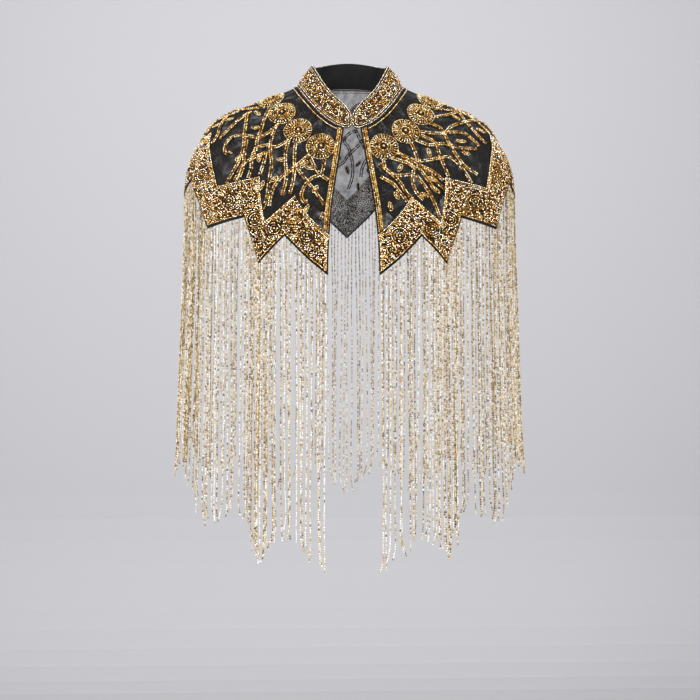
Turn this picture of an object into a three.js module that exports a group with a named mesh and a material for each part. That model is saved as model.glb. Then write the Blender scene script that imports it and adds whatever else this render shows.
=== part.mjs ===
// A beaded shoulder cape, as it stands when worn: a stand collar whose rounded ends meet at the
// throat, a net yoke in two fronts and a back, sixteen beaded rounds below the neck seam, a zigzag
// border of sequins, a braid down each front edge and long bead fringe on a narrow hem tape.
// Millimetres. +Z is up, the front looks along -Y, and the wearer's left is +X. The origin is the
// middle of the neck ring, at the height of the neck seam over the shoulders.
import * as THREE from "three";

// Rows of a table as objects with the table's column names.
function table(columns, ...rows) {
  return rows.map((row) => Object.fromEntries(columns.map((name, k) => [name, row[k]])));
}

// ---- driving dimensions ------------------------------------------------------------------------

// Rings of the cape from the neck seam (share 0) to the tips of the hem (share 1). halfWidth and
// sideZ are at the side, the depths and their heights at centre front and centre back. square is
// the exponent of the ring seen from above, and full tells how far round the fall of the front and
// back keeps its depth before it rises to the shoulder.
const RINGS = table(
  ["share", "halfWidth", "sideZ", "frontDepth", "frontZ", "backDepth", "backZ", "square", "full"],
  [0.0, 71, 0, 78, -67, 62, 12, 2.0, 2.0],
  [0.2, 110, -16, 91, -104, 84, -23, 2.05, 2.2],
  [0.4, 152.5, -31.5, 103, -141, 101, -61, 2.1, 2.5],
  [0.55, 180.5, -49.5, 113, -168, 110, -91, 2.2, 2.8],
  [0.7, 198.5, -78, 121, -196, 116.5, -122, 2.3, 3.0],
  [0.85, 211, -109, 128, -224, 120.5, -153, 2.35, 3.2],
  [1.0, 216, -143, 133, -253, 123, -184, 2.4, 3.2],
);

// Troughs in the hanging cloth. angle is counted from centre front towards the wearer's left
// (side 1) or right (side -1), spread is half a trough's width, and it deepens from start to the hem.
const FOLDS = table(
  ["side", "angle", "spread", "depth", "start"],
  [1, 20, 7, 3, 0.5],
  [1, 35, 8, 6, 0.5],
  [1, 60, 9, 4, 0.5],
  [1, 76, 9, 8, 0.45],
  [1, 107, 10, 5, 0.5],
  [1, 141, 9, 7, 0.5],
  [1, 167, 7, 4, 0.55],
  [-1, 19, 7, 4, 0.5],
  [-1, 36, 8, 7, 0.5],
  [-1, 59, 8, 3, 0.55],
  [-1, 75, 9, 9, 0.45],
  [-1, 109, 9, 4, 0.5],
  [-1, 144, 10, 6, 0.5],
  [-1, 166, 7, 5, 0.55],
);

// The hem zigzags between tips, at whole teeth, and notches, from a front edge to centre back. The
// teeth are cut alike, and the folds they hang in draw some together: angle is where each comes to
// lie, and share is how far down.
const HEM = table(
  ["tooth", "angle", "share"],
  [0, 8.2, 1],
  [0.5, 23.4, 0.78],
  [1, 31, 1],
  [1.5, 39, 0.78],
  [2, 52, 1],
  [2.5, 73, 0.83],
  [3, 85.5, 1],
  [3.5, 107.5, 0.78],
  [4, 126, 1],
  [4.5, 140.8, 0.78],
  [5, 154.2, 1],
  [5.5, 167, 0.78],
  [6, 180, 1],
);

const FRONT_EDGE_ANGLE = HEM[0].angle;
const TEETH_PER_HALF = 6;
const BORDER_SHARE = 0.25; // height of the beaded border, measured down the cape
const SEAM_GAP = 0.3; // between neighbouring pieces
const NET_THICKNESS = 1;
const BORDER_THICKNESS = 1.5;

const COLLAR_HEIGHT = 37;
const COLLAR_THICKNESS = 2;
const COLLAR_LIFT = 0.4; // clear of the neck seam
const COLLAR_TOP = { halfWidth: 50, sideZ: 30, frontDepth: 64, frontZ: -33, backDepth: 50, backZ: 45 };
const COLLAR_END_GAP = 0.4; // each rounded end, from centre front
const COLLAR_END = { lowRound: 9, lowRise: 10, highRound: 26, highFrom: 14 };

const ROUND_COUNT_PER_HALF = 8;
const ROUND_LEVEL = 0.18;
const FIRST_ROUND_ANGLE = 21.4;
const ROUND_SIDES = 12;
const ROUND_CLEARANCE = 0.45;
// Section of a beaded round, from its centre out: the height of its face over the net.
const ROUND_PROFILE = [
  { radius: 0, height: 3.2 },
  { radius: 5, height: 2.0 },
  { radius: 10.5, height: 2.5 },
  { radius: 17.5, height: 1.4 },
];

const BRAID_WIDTH = 8;
const BRAID_CLEARANCE = 0.4;
const BRAID_THICKNESS = 1.2;
const BRAID_START_SHARE = 0.008;
const BRAID_END_GAP_SHARE = 0.004;

const TAPE = { gap: 0.8, width: 4, inside: 1, outside: 1.8 };
const STRANDS_PER_TOOTH = 20;
const STRAND_LENGTH = 368; // below the tape
const STRAND_WIDTH = 2;
const STRAND_SEGMENTS = 2;
const STRAND_LEAN = { front: 2, side: 13, bend: 1.5 };
const STRAND_SWAY = 0.3;
const STRAND_UNEVEN = 9; // spread of the strands' lengths

const COLUMNS_PER_TOOTH = 8;
const NET_ROWS = 6;
const BORDER_ROWS = 3;
const COLLAR_ROWS = 4;
const COLLAR_END_COLUMNS = 4;

const blackNet = new THREE.MeshStandardMaterial({ color: 0x1f1d1c, roughness: 0.85 });
const goldBeads = new THREE.MeshStandardMaterial({ color: 0x9a7440, roughness: 0.3, metalness: 0.9 });
const paleBeads = new THREE.MeshStandardMaterial({ color: 0xcdbfa9, roughness: 0.25, metalness: 0.6 });

// ---- the cape's surface ------------------------------------------------------------------------

const radians = THREE.MathUtils.degToRad;

// A ring at any share: each column runs through the table as one smooth curve.
function ringAt(share) {
  const passed = RINGS.filter((ring) => ring.share <= share).length - 1;
  const k = THREE.MathUtils.clamp(passed, 0, RINGS.length - 2);
  const [from, to] = [RINGS[k], RINGS[k + 1]];
  const before = RINGS[Math.max(k - 1, 0)];
  const after = RINGS[Math.min(k + 2, RINGS.length - 1)];
  const step = to.share - from.share;
  const t = (share - from.share) / step;
  const ring = {};
  for (const name of Object.keys(from)) {
    const slopeIn = (to[name] - before[name]) / (to.share - before.share);
    const slopeOut = (after[name] - from[name]) / (after.share - from.share);
    ring[name] =
      from[name] * (2 * t ** 3 - 3 * t ** 2 + 1) +
      slopeIn * step * (t ** 3 - 2 * t ** 2 + t) +
      to[name] * (3 * t ** 2 - 2 * t ** 3) +
      slopeOut * step * (t ** 3 - t ** 2);
  }
  return ring;
}

// A point of an oval ring, with the fall of its front and back.
function pointOnRing(ring, angle) {
  const sine = Math.sin(radians(angle));
  const cosine = Math.cos(radians(angle));
  const square = ring.square ?? 2;
  const reach = (Math.abs(sine) ** square + Math.abs(cosine) ** square) ** (-1 / square);
  const across = reach * sine;
  const fall = 1 - Math.abs(across) ** (ring.full ?? 2);
  const isFront = cosine > 0;
  const depth = isFront ? ring.frontDepth : ring.backDepth;
  const middleZ = isFront ? ring.frontZ : ring.backZ;
  return new THREE.Vector3(
    ring.halfWidth * across,
    -depth * reach * cosine,
    ring.sideZ + (middleZ - ring.sideZ) * fall,
  );
}

function foldDepth(angle, share) {
  const turned = THREE.MathUtils.euclideanModulo(angle + 180, 360) - 180;
  const side = turned < 0 ? -1 : 1;
  let depth = 0;
  for (const fold of FOLDS) {
    const away = Math.abs(Math.abs(turned) - fold.angle) / fold.spread;
    if (fold.side === side && away < 1) {
      const shape = Math.cos((away * Math.PI) / 2) ** 2;
      depth += fold.depth * shape * THREE.MathUtils.smoothstep(share, fold.start, 1);
    }
  }
  return depth;
}

// The outer face of the net: angle round from centre front, share down from the neck seam.
function netPoint(angle, share) {
  const point = pointOnRing(ringAt(share), angle);
  const reach = Math.hypot(point.x, point.y);
  const drawn = 1 - foldDepth(angle, share) / reach;
  point.x *= drawn;
  point.y *= drawn;
  return point;
}

// Directions at a point of a surface(angle, share): along the ring, down, and out.
function directions(surface, angle, share) {
  const turn = 0.05;
  const drop = 0.0005;
  const along = surface(angle + turn, share).sub(surface(angle - turn, share)).divideScalar(2 * turn);
  const down = surface(angle, share + drop).sub(surface(angle, share - drop)).divideScalar(2 * drop);
  const out = down.clone().cross(along).normalize();
  return { along, down, out };
}

function lifted(surface, angle, share, height) {
  const { out } = directions(surface, angle, share);
  return surface(angle, share).addScaledVector(out, height);
}

// Distances round a ring at one level, so that places can be spaced evenly along it.
function arcTable(share, from, to) {
  const step = 0.5;
  const rows = [{ angle: from, length: 0 }];
  const ring = ringAt(share);
  for (let angle = from; angle < to; ) {
    const next = Math.min(angle + step, to);
    const piece = pointOnRing(ring, next).distanceTo(pointOnRing(ring, angle));
    rows.push({ angle: next, length: rows.at(-1).length + piece });
    angle = next;
  }
  return rows;
}

function lookUp(rows, given, wanted, value) {
  const found = rows.findIndex((row) => row[given] >= value);
  const k = Math.max(1, found < 0 ? rows.length - 1 : found);
  const [low, high] = [rows[k - 1], rows[k]];
  const t = (value - low[given]) / (high[given] - low[given]);
  return low[wanted] + t * (high[wanted] - low[wanted]);
}

// tooth counts the hem's tips round from the left front edge (0): the shoulder seams are at 3 and 9,
// and centre back is at 6.
function angleOfTooth(tooth) {
  if (tooth > TEETH_PER_HALF) return 360 - angleOfTooth(2 * TEETH_PER_HALF - tooth);
  return lookUp(HEM, "tooth", "angle", tooth);
}

function toothOfAngle(angle) {
  return lookUp(HEM, "angle", "tooth", Math.abs(angle));
}

function hemShare(tooth) {
  const fromFront = Math.abs(tooth);
  return lookUp(HEM, "tooth", "share", Math.min(fromFront, 2 * TEETH_PER_HALF - fromFront));
}

function borderShare(tooth) {
  return hemShare(tooth) - BORDER_SHARE;
}

// ---- solids ------------------------------------------------------------------------------------

function geometryOf(points, faces) {
  const geometry = new THREE.BufferGeometry().setFromPoints(points);
  geometry.setIndex(faces.flat());
  geometry.computeVertexNormals();
  return geometry;
}

const quad = (a, b, c, d) => [[a, b, d], [b, c, d]];

// A closed wall between two grids of points. outer and inner give a point for a column (counted
// round, towards the wearer's left from the front) and a row (counted down).
function wallGeometry(columns, rows, outer, inner) {
  const points = [];
  for (const face of [outer, inner]) {
    for (let i = 0; i <= columns; i++) {
      for (let j = 0; j <= rows; j++) points.push(face(i, j));
    }
  }
  const layer = (columns + 1) * (rows + 1);
  const out = (i, j) => i * (rows + 1) + j;
  const back = (i, j) => layer + out(i, j);
  const faces = [];
  for (let i = 0; i < columns; i++) {
    for (let j = 0; j < rows; j++) {
      faces.push(...quad(out(i, j), out(i, j + 1), out(i + 1, j + 1), out(i + 1, j)));
      faces.push([back(i, j), back(i + 1, j), back(i, j + 1)]);
      faces.push([back(i, j + 1), back(i + 1, j), back(i + 1, j + 1)]);
    }
    faces.push(...quad(out(i, 0), out(i + 1, 0), back(i + 1, 0), back(i, 0)));
    faces.push(...quad(out(i + 1, rows), out(i, rows), back(i, rows), back(i + 1, rows)));
  }
  for (let j = 0; j < rows; j++) {
    faces.push(...quad(out(0, j + 1), out(0, j), back(0, j), back(0, j + 1)));
    faces.push(...quad(out(columns, j), out(columns, j + 1), back(columns, j + 1), back(columns, j)));
  }
  return geometryOf(points, faces);
}

const cape = new THREE.Group();

function addPiece(name, geometry, material) {
  const mesh = new THREE.Mesh(geometry, material);
  mesh.name = name;
  cape.add(mesh);
}

// ---- the panels: net yoke and beaded border ----------------------------------------------------

// Each panel runs between two places counted in teeth. The right front counts below zero, where
// angles mirror the left front's. At a seam the panel stands back by half the gap.
const HALF_GAP = (SEAM_GAP / 2 / arcTable(0, 0, 180).at(-1).length) * TEETH_PER_HALF;
const PANELS = [
  { name: "front_right", from: -3, to: 0, first: -3 + HALF_GAP, last: 0 },
  { name: "front_left", from: 0, to: 3, first: 0, last: 3 - HALF_GAP },
  { name: "back", from: 3, to: 9, first: 3 + HALF_GAP, last: 9 - HALF_GAP },
];

// A place in a panel as its tooth and its angle.
function placeInPanel(panel, tooth) {
  const inside = THREE.MathUtils.clamp(tooth, panel.first, panel.last);
  const angle = panel.from < 0 ? -angleOfTooth(-inside) : angleOfTooth(inside);
  return { tooth: inside, angle };
}

const columnsOf = (panel) => (panel.to - panel.from) * COLUMNS_PER_TOOTH;
const placeOfColumn = (panel, column) => placeInPanel(panel, panel.from + column / COLUMNS_PER_TOOTH);

// Share of a row: the first rows are the open net, the last ones lie under the border.
function shareOfRow(tooth, row) {
  if (row <= NET_ROWS) return (borderShare(tooth) * row) / NET_ROWS;
  return borderShare(tooth) + (BORDER_SHARE * (row - NET_ROWS)) / BORDER_ROWS;
}

function panelWall(panel, firstRow, rows, outside, inside) {
  const face = (height) => (column, row) => {
    const { tooth, angle } = placeOfColumn(panel, column);
    return lifted(netPoint, angle, shareOfRow(tooth, firstRow + row), height);
  };
  return wallGeometry(columnsOf(panel), rows, face(outside), face(inside));
}

for (const panel of PANELS) {
  const yoke = panelWall(panel, 0, NET_ROWS + BORDER_ROWS, 0, -NET_THICKNESS);
  addPiece(`yoke_${panel.name}`, yoke, blackNet);
  const border = panelWall(panel, NET_ROWS, BORDER_ROWS, SEAM_GAP + BORDER_THICKNESS, SEAM_GAP);
  addPiece(`border_${panel.name}`, border, goldBeads);
}

// ---- the front braids --------------------------------------------------------------------------

// A braid lies on each front along its edge, from the neck seam to the border.
function frontBraid(side) {
  const columns = 2;
  const face = (height) => (column, row) => {
    const across = side > 0 ? column : columns - column;
    const inwards = (BRAID_WIDTH * across) / columns;
    const halfWidth = ringAt(borderShare(0) * (row / NET_ROWS)).halfWidth;
    const angle = FRONT_EDGE_ANGLE + THREE.MathUtils.radToDeg(inwards / halfWidth);
    const end = borderShare(toothOfAngle(angle)) - BRAID_END_GAP_SHARE;
    const share = BRAID_START_SHARE + ((end - BRAID_START_SHARE) * row) / NET_ROWS;
    return lifted(netPoint, side * angle, share, height);
  };
  return wallGeometry(columns, NET_ROWS, face(BRAID_CLEARANCE + BRAID_THICKNESS), face(BRAID_CLEARANCE));
}

addPiece("front_braid_left", frontBraid(1), goldBeads);
addPiece("front_braid_right", frontBraid(-1), goldBeads);

// ---- the beaded rounds -------------------------------------------------------------------------

// A point of the net at a distance and direction from a centre, measured on the cloth.
function netPointNear(angle, share, radius, direction, height) {
  const { along, down, out } = directions(netPoint, angle, share);
  const right = along.clone().normalize();
  const below = right.clone().cross(out);
  const drop = (radius * Math.sin(direction)) / down.dot(below);
  const turn = (radius * Math.cos(direction) - drop * down.dot(right)) / along.length();
  return lifted(netPoint, angle + turn, share + drop, height);
}

function beadedRound(angle) {
  const points = [];
  const ringOf = (radius, height) => {
    const first = points.length;
    for (let k = 0; k < ROUND_SIDES; k++) {
      points.push(netPointNear(angle, ROUND_LEVEL, radius, (2 * Math.PI * k) / ROUND_SIDES, height));
    }
    return first;
  };
  const [middle, ...rest] = ROUND_PROFILE;
  points.push(lifted(netPoint, angle, ROUND_LEVEL, middle.height));
  points.push(lifted(netPoint, angle, ROUND_LEVEL, ROUND_CLEARANCE));
  const edge = rest.at(-1).radius;
  const tops = rest.map((ring) => ringOf(ring.radius, ring.height));
  const bottoms = [edge, edge / 2].map((radius) => ringOf(radius, ROUND_CLEARANCE));
  const rings = [...tops, ...bottoms];
  const faces = [];
  for (let k = 0; k < ROUND_SIDES; k++) {
    const next = (k + 1) % ROUND_SIDES;
    faces.push([0, rings[0] + next, rings[0] + k]);
    for (let r = 0; r + 1 < rings.length; r++) {
      faces.push([rings[r] + k, rings[r] + next, rings[r + 1] + next]);
      faces.push([rings[r] + k, rings[r + 1] + next, rings[r + 1] + k]);
    }
    faces.push([1, rings.at(-1) + k, rings.at(-1) + next]);
  }
  return geometryOf(points, faces);
}

// The rounds are evenly spaced, with half a space on each side of centre back.
const ROUND_ARC = arcTable(ROUND_LEVEL, FIRST_ROUND_ANGLE, 180);
const ROUND_SPACING = ROUND_ARC.at(-1).length / (ROUND_COUNT_PER_HALF - 0.5);
for (const [sideName, side] of [["left", 1], ["right", -1]]) {
  for (let k = 0; k < ROUND_COUNT_PER_HALF; k++) {
    const angle = lookUp(ROUND_ARC, "length", "angle", k * ROUND_SPACING);
    addPiece(`beaded_round_${sideName}_${k + 1}`, beadedRound(side * angle), goldBeads);
  }
}

// ---- the collar --------------------------------------------------------------------------------

// The collar's outer face: rise 0 at the neck seam, 1 at its upper edge.
function collarPoint(angle, rise) {
  const seam = pointOnRing(RINGS[0], angle);
  return seam.lerp(pointOnRing(COLLAR_TOP, angle), rise);
}

const collarFromTop = (angle, drop) => collarPoint(angle, 1 - drop);

function quarterRound(distance, radius) {
  const inside = Math.max(0, 1 - distance / radius);
  return Math.sqrt(1 - inside ** 2);
}

// Lower and upper edge of the collar at a distance from centre front, in mm up from the seam.
function collarEdges(distance) {
  const { lowRound, lowRise, highRound, highFrom } = COLLAR_END;
  const low = COLLAR_LIFT + lowRise * (1 - quarterRound(distance, lowRound));
  const high = highFrom + (COLLAR_HEIGHT - highFrom) * quarterRound(distance, highRound);
  return { low, high };
}

const NECK_ARC = arcTable(0, 0, 180);

// Angles of the collar's columns on one side: a few on its free rounded end, closer together
// towards the tip, and then every second column of the yoke that it is sewn to.
function collarAngles() {
  const freeEnd = lookUp(NECK_ARC, "angle", "length", FRONT_EDGE_ANGLE) - COLLAR_END_GAP;
  const crowding = 1.6;
  const angles = [];
  for (let k = 0; k < COLLAR_END_COLUMNS; k++) {
    const distance = COLLAR_END_GAP + freeEnd * (k / COLLAR_END_COLUMNS) ** crowding;
    angles.push(lookUp(NECK_ARC, "length", "angle", distance));
  }
  for (let column = 0; column <= TEETH_PER_HALF * COLUMNS_PER_TOOTH; column += 2) {
    angles.push(angleOfTooth(column / COLUMNS_PER_TOOTH));
  }
  return angles;
}

function collar() {
  const half = collarAngles();
  const columns = 2 * (half.length - 1);
  const face = (height) => (column, row) => {
    const isLeft = column < half.length;
    const turn = half[isLeft ? column : columns - column];
    const { low, high } = collarEdges(lookUp(NECK_ARC, "angle", "length", turn));
    const rise = (high + ((low - high) * row) / COLLAR_ROWS) / COLLAR_HEIGHT;
    return lifted(collarFromTop, isLeft ? turn : 360 - turn, 1 - rise, height);
  };
  return wallGeometry(columns, COLLAR_ROWS, face(0), face(-COLLAR_THICKNESS));
}

addPiece("collar", collar(), goldBeads);

// ---- the fringe --------------------------------------------------------------------------------

// A repeatable number from 0 to 1 for a strand and a purpose.
function chance(strand, purpose) {
  const value = Math.sin(strand * 12.9898 + purpose * 78.233) * 43758.5453;
  return value - Math.floor(value);
}

function belowHem(angle, tooth, drop, height) {
  const share = hemShare(tooth);
  const { down, out } = directions(netPoint, angle, share);
  return netPoint(angle, share).addScaledVector(down.normalize(), drop).addScaledVector(out, height);
}

// The rings of a strand below the tape. It hangs straight down and leans out, most at the sides.
function strandRings(angle, tooth, number) {
  const { along } = directions(netPoint, angle, hemShare(tooth));
  const sideways = new THREE.Vector3(along.x, along.y, 0).normalize();
  const outwards = new THREE.Vector3(sideways.y, -sideways.x, 0);
  const root = belowHem(angle, tooth, TAPE.gap + TAPE.width, (TAPE.outside - TAPE.inside) / 2);
  const length = STRAND_LENGTH - STRAND_UNEVEN * chance(number, 3);
  const lean = STRAND_LEAN.front + (STRAND_LEAN.side - STRAND_LEAN.front) * Math.sin(radians(angle)) ** 2;
  const swing = STRAND_SWAY * (chance(number, 1) * 2 - 1);
  const rings = [];
  for (let j = 1; j <= STRAND_SEGMENTS; j++) {
    const t = j / STRAND_SEGMENTS;
    const middle = root
      .clone()
      .addScaledVector(sideways, swing * t)
      .addScaledVector(outwards, lean * t ** STRAND_LEAN.bend);
    middle.z -= length * t;
    const corners = [[1, 1], [-1, 1], [-1, -1], [1, -1]].map(([a, b]) =>
      middle
        .clone()
        .addScaledVector(sideways, (a * STRAND_WIDTH) / 2)
        .addScaledVector(outwards, (b * STRAND_WIDTH) / 2),
    );
    rings.push(corners);
  }
  return rings;
}

// The tape runs along the zigzag just clear of the hem, and each strand grows out of its lower
// face. Along the tape, a strand and the gap beside it each take half of a strand's space.
function fringe(panel, firstNumber) {
  const count = (panel.to - panel.from) * STRANDS_PER_TOOTH;
  const cuts = [];
  for (let k = 0; k < count; k++) {
    if (k % (STRANDS_PER_TOOTH / 2) === 0) cuts.push(k);
    cuts.push(k + 0.25, k + 0.75);
  }
  cuts.push(count);
  const points = [];
  for (const cut of cuts) {
    const { tooth, angle } = placeInPanel(panel, panel.from + cut / STRANDS_PER_TOOTH);
    for (const height of [TAPE.outside, -TAPE.inside]) {
      points.push(belowHem(angle, tooth, TAPE.gap, height));
      points.push(belowHem(angle, tooth, TAPE.gap + TAPE.width, height));
    }
  }
  const [outTop, outLow, inTop, inLow] = [0, 1, 2, 3];
  const faces = quad(outLow, outTop, inTop, inLow);
  for (let i = 0; i + 1 < cuts.length; i++) {
    const here = 4 * i;
    const next = here + 4;
    faces.push(...quad(here + outTop, here + outLow, next + outLow, next + outTop));
    faces.push(...quad(next + inTop, next + inLow, here + inLow, here + inTop));
    faces.push(...quad(here + outTop, next + outTop, next + inTop, here + inTop));
    let ring = [next + outLow, here + outLow, here + inLow, next + inLow];
    if (cuts[i] % 1 === 0.25) {
      const k = Math.floor(cuts[i]);
      const { tooth, angle } = placeInPanel(panel, panel.from + (k + 0.5) / STRANDS_PER_TOOTH);
      for (const corners of strandRings(angle, tooth, firstNumber + k)) {
        const below = corners.map((corner) => points.push(corner) - 1);
        for (let side = 0; side < 4; side++) {
          const other = (side + 1) % 4;
          faces.push(...quad(ring[side], ring[other], below[other], below[side]));
        }
        ring = below;
      }
    }
    faces.push(...quad(...ring));
  }
  const end = 4 * (cuts.length - 1);
  faces.push(...quad(end + outTop, end + outLow, end + inLow, end + inTop));
  return geometryOf(points, faces);
}

let strandNumber = 0;
for (const panel of PANELS) {
  addPiece(`fringe_${panel.name}`, fringe(panel, strandNumber), paleBeads);
  strandNumber += (panel.to - panel.from) * STRANDS_PER_TOOTH;
}

export default cape;
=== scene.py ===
"""Looks of the beaded shoulder cape: net, bead embroidery, sequinned border and bead fringe.

Lengths in the working parts below are millimetres, as in the CAD source, and become metres when a
mesh is made. The front looks along -Y, and the wearer's left is +X.
"""

import math

import bpy
import numpy as np
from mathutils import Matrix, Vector


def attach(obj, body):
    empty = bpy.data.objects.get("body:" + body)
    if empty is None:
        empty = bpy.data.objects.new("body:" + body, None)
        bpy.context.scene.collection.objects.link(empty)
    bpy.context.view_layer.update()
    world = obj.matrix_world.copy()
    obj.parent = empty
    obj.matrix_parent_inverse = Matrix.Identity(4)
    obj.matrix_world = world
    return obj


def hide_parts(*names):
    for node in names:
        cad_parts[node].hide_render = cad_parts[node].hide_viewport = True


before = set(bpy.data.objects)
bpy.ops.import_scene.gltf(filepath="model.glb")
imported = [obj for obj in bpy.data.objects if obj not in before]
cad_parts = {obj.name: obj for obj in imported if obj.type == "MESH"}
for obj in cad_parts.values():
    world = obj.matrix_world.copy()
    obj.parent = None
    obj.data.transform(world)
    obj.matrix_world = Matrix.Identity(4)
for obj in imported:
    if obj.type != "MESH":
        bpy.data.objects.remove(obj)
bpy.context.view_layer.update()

MM = 0.001
rng = np.random.default_rng(2286)

# ---- camera ---------------------------------------------------------------------------------------

CAMERA_DISTANCE = 1.6
CAMERA_HEIGHT = -0.345

camera_data = bpy.data.cameras.new("studio_camera")
camera_data.sensor_width = 36
camera_data.lens = 62.3
camera = bpy.data.objects.new("studio_camera", camera_data)
camera_turn = math.radians(-2)
camera.location = (
    CAMERA_DISTANCE * math.sin(camera_turn),
    -CAMERA_DISTANCE * math.cos(camera_turn),
    CAMERA_HEIGHT,
)
camera.rotation_euler = (math.pi / 2, 0, camera_turn)
bpy.context.scene.collection.objects.link(camera)
bpy.context.scene.camera = camera
bpy.context.scene.view_settings.view_transform = "Standard"

# ---- the cape's surface, as in the CAD source -----------------------------------------------------

# Rings down the cape: share, half width, side z, front depth, front z, back depth, back z, and how
# square each is in plan and how full towards its sides.
RINGS = np.array([
    [0.0, 71, 0, 78, -67, 62, 12, 2.0, 2.0],
    [0.2, 110, -16, 91, -104, 84, -23, 2.05, 2.2],
    [0.4, 152.5, -31.5, 103, -141, 101, -61, 2.1, 2.5],
    [0.55, 180.5, -49.5, 113, -168, 110, -91, 2.2, 2.8],
    [0.7, 198.5, -78, 121, -196, 116.5, -122, 2.3, 3.0],
    [0.85, 211, -109, 128, -224, 120.5, -153, 2.35, 3.2],
    [1.0, 216, -143, 133, -253, 123, -184, 2.4, 3.2],
])
COLLAR_TOP = np.array([0, 50, 30, 64, -33, 50, 45, 2.0, 2.0])

# Folds of the skirt: side, angle, spread in degrees, depth in mm, and the share where each starts.
FOLDS = [
    (1, 20, 7, 3, 0.5),
    (1, 35, 8, 6, 0.5),
    (1, 60, 9, 4, 0.5),
    (1, 76, 9, 8, 0.45),
    (1, 107, 10, 5, 0.5),
    (1, 141, 9, 7, 0.5),
    (1, 167, 7, 4, 0.55),
    (-1, 19, 7, 4, 0.5),
    (-1, 36, 8, 7, 0.5),
    (-1, 59, 8, 3, 0.55),
    (-1, 75, 9, 9, 0.45),
    (-1, 109, 9, 4, 0.5),
    (-1, 144, 10, 6, 0.5),
    (-1, 166, 7, 5, 0.55),
]

# Soft creases that the net has between its beading: angle, share, half width in degrees, half
# length in share, height in mm.
CREASES = [
    (-31, 0.07, 3.0, 0.07, 0.8),
    (-47, 0.06, 2.5, 0.06, -0.8),
    (-63, 0.09, 3.5, 0.08, 0.9),
    (-52, 0.38, 3.0, 0.10, -0.9),
    (-33, 0.42, 2.5, 0.09, 0.8),
    (-70, 0.43, 3.0, 0.08, 0.9),
    (-88, 0.30, 3.5, 0.12, -0.9),
    (-24, 0.50, 2.5, 0.08, -0.8),
    (27, 0.06, 2.5, 0.06, -0.7),
    (41, 0.08, 3.0, 0.08, 0.9),
    (58, 0.05, 2.5, 0.06, -0.8),
    (36, 0.44, 3.0, 0.09, 0.9),
    (49, 0.37, 2.5, 0.08, -0.8),
    (66, 0.40, 3.0, 0.10, 0.9),
    (84, 0.35, 3.0, 0.12, -0.8),
    (20, 0.53, 2.0, 0.07, 0.7),
    (112, 0.33, 3.5, 0.10, 0.9),
    (131, 0.40, 3.0, 0.10, -0.9),
    (152, 0.07, 3.0, 0.07, 0.7),
    (163, 0.42, 3.0, 0.09, 0.8),
    (-115, 0.36, 3.5, 0.10, -0.8),
    (-128, 0.08, 3.0, 0.08, 0.8),
    (-139, 0.42, 3.0, 0.09, 0.9),
    (-158, 0.38, 3.0, 0.10, -0.8),
    (179, 0.45, 2.5, 0.09, 0.7),
]

# Tips of the hem, at whole teeth, and its notches: tooth, angle, share.
HEM = np.array([
    [0, 8.2, 1],
    [0.5, 23.4, 0.78],
    [1, 31, 1],
    [1.5, 39, 0.78],
    [2, 52, 1],
    [2.5, 73, 0.83],
    [3, 85.5, 1],
    [3.5, 107.5, 0.78],
    [4, 126, 1],
    [4.5, 140.8, 0.78],
    [5, 154.2, 1],
    [5.5, 167, 0.78],
    [6, 180, 1],
])

FRONT_EDGE_ANGLE = 8.2
TEETH_PER_HALF = 6
BORDER_SHARE = 0.25
SEAM_GAP = 0.3


def smoothstep(value, low, high):
    t = np.clip((value - low) / (high - low), 0, 1)
    return t * t * (3 - 2 * t)


def ring_at(share):
    """Sizes of the ring at each share, down the last axis."""
    share = np.asarray(share, float)
    last = len(RINGS) - 1
    k = np.clip(np.searchsorted(RINGS[:, 0], share, side="right") - 1, 0, last - 1)
    start = RINGS[k]
    stop = RINGS[k + 1]
    before = RINGS[np.maximum(k - 1, 0)]
    after = RINGS[np.minimum(k + 2, last)]
    step = (stop - start)[..., :1]
    t = (share[..., None] - start[..., :1]) / step
    slope_in = (stop - before) / (stop - before)[..., :1]
    slope_out = (after - start) / (after - start)[..., :1]
    return (
        start * (2 * t**3 - 3 * t**2 + 1)
        + slope_in * step * (t**3 - 2 * t**2 + t)
        + stop * (3 * t**2 - 2 * t**3)
        + slope_out * step * (t**3 - t**2)
    )


def point_on_ring(ring, angle):
    sine = np.sin(np.radians(angle))
    cosine = np.cos(np.radians(angle))
    square = ring[..., 7]
    reach = (np.abs(sine) ** square + np.abs(cosine) ** square) ** (-1 / square)
    across = reach * sine
    fall = 1 - np.abs(across) ** ring[..., 8]
    is_front = cosine > 0
    depth = np.where(is_front, ring[..., 3], ring[..., 5])
    middle = np.where(is_front, ring[..., 4], ring[..., 6])
    side_z = ring[..., 2]
    z = side_z + (middle - side_z) * fall
    return np.stack([ring[..., 1] * across, -depth * reach * cosine, z], -1)


def wrapped(angle):
    return (np.asarray(angle, float) + 180) % 360 - 180


def fold_depth(angle, share):
    turned = wrapped(angle)
    depth = np.zeros(np.broadcast(turned, share).shape)
    for side, middle, spread, deep, start in FOLDS:
        away = np.abs(np.abs(turned) - middle) / spread
        shape = np.cos(np.minimum(away, 1) * math.pi / 2) ** 2 * (away < 1)
        on_side = np.where(turned < 0, -1, 1) == side
        depth = depth + deep * shape * smoothstep(share, start, 1) * on_side
    return depth


def crease_height(angle, share):
    height = 0
    for middle, level, spread, length, tall in CREASES:
        across = wrapped(angle - middle) / spread
        down = (share - level) / length
        height = height + tall * np.exp(-(across**2) - down**2)
    return height


def net_point(angle, share):
    """The outer face of the net: angle round from centre front, share down from the neck seam."""
    angle = np.asarray(angle, float)
    share = np.asarray(share, float)
    point = point_on_ring(ring_at(share), angle)
    reach = np.hypot(point[..., 0], point[..., 1])
    drawn = 1 - (fold_depth(angle, share) - crease_height(angle, share)) / reach
    point[..., :2] *= drawn[..., None]
    return point


def unit(vectors):
    return vectors / np.maximum(np.linalg.norm(vectors, axis=-1, keepdims=True), 1e-12)


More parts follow.
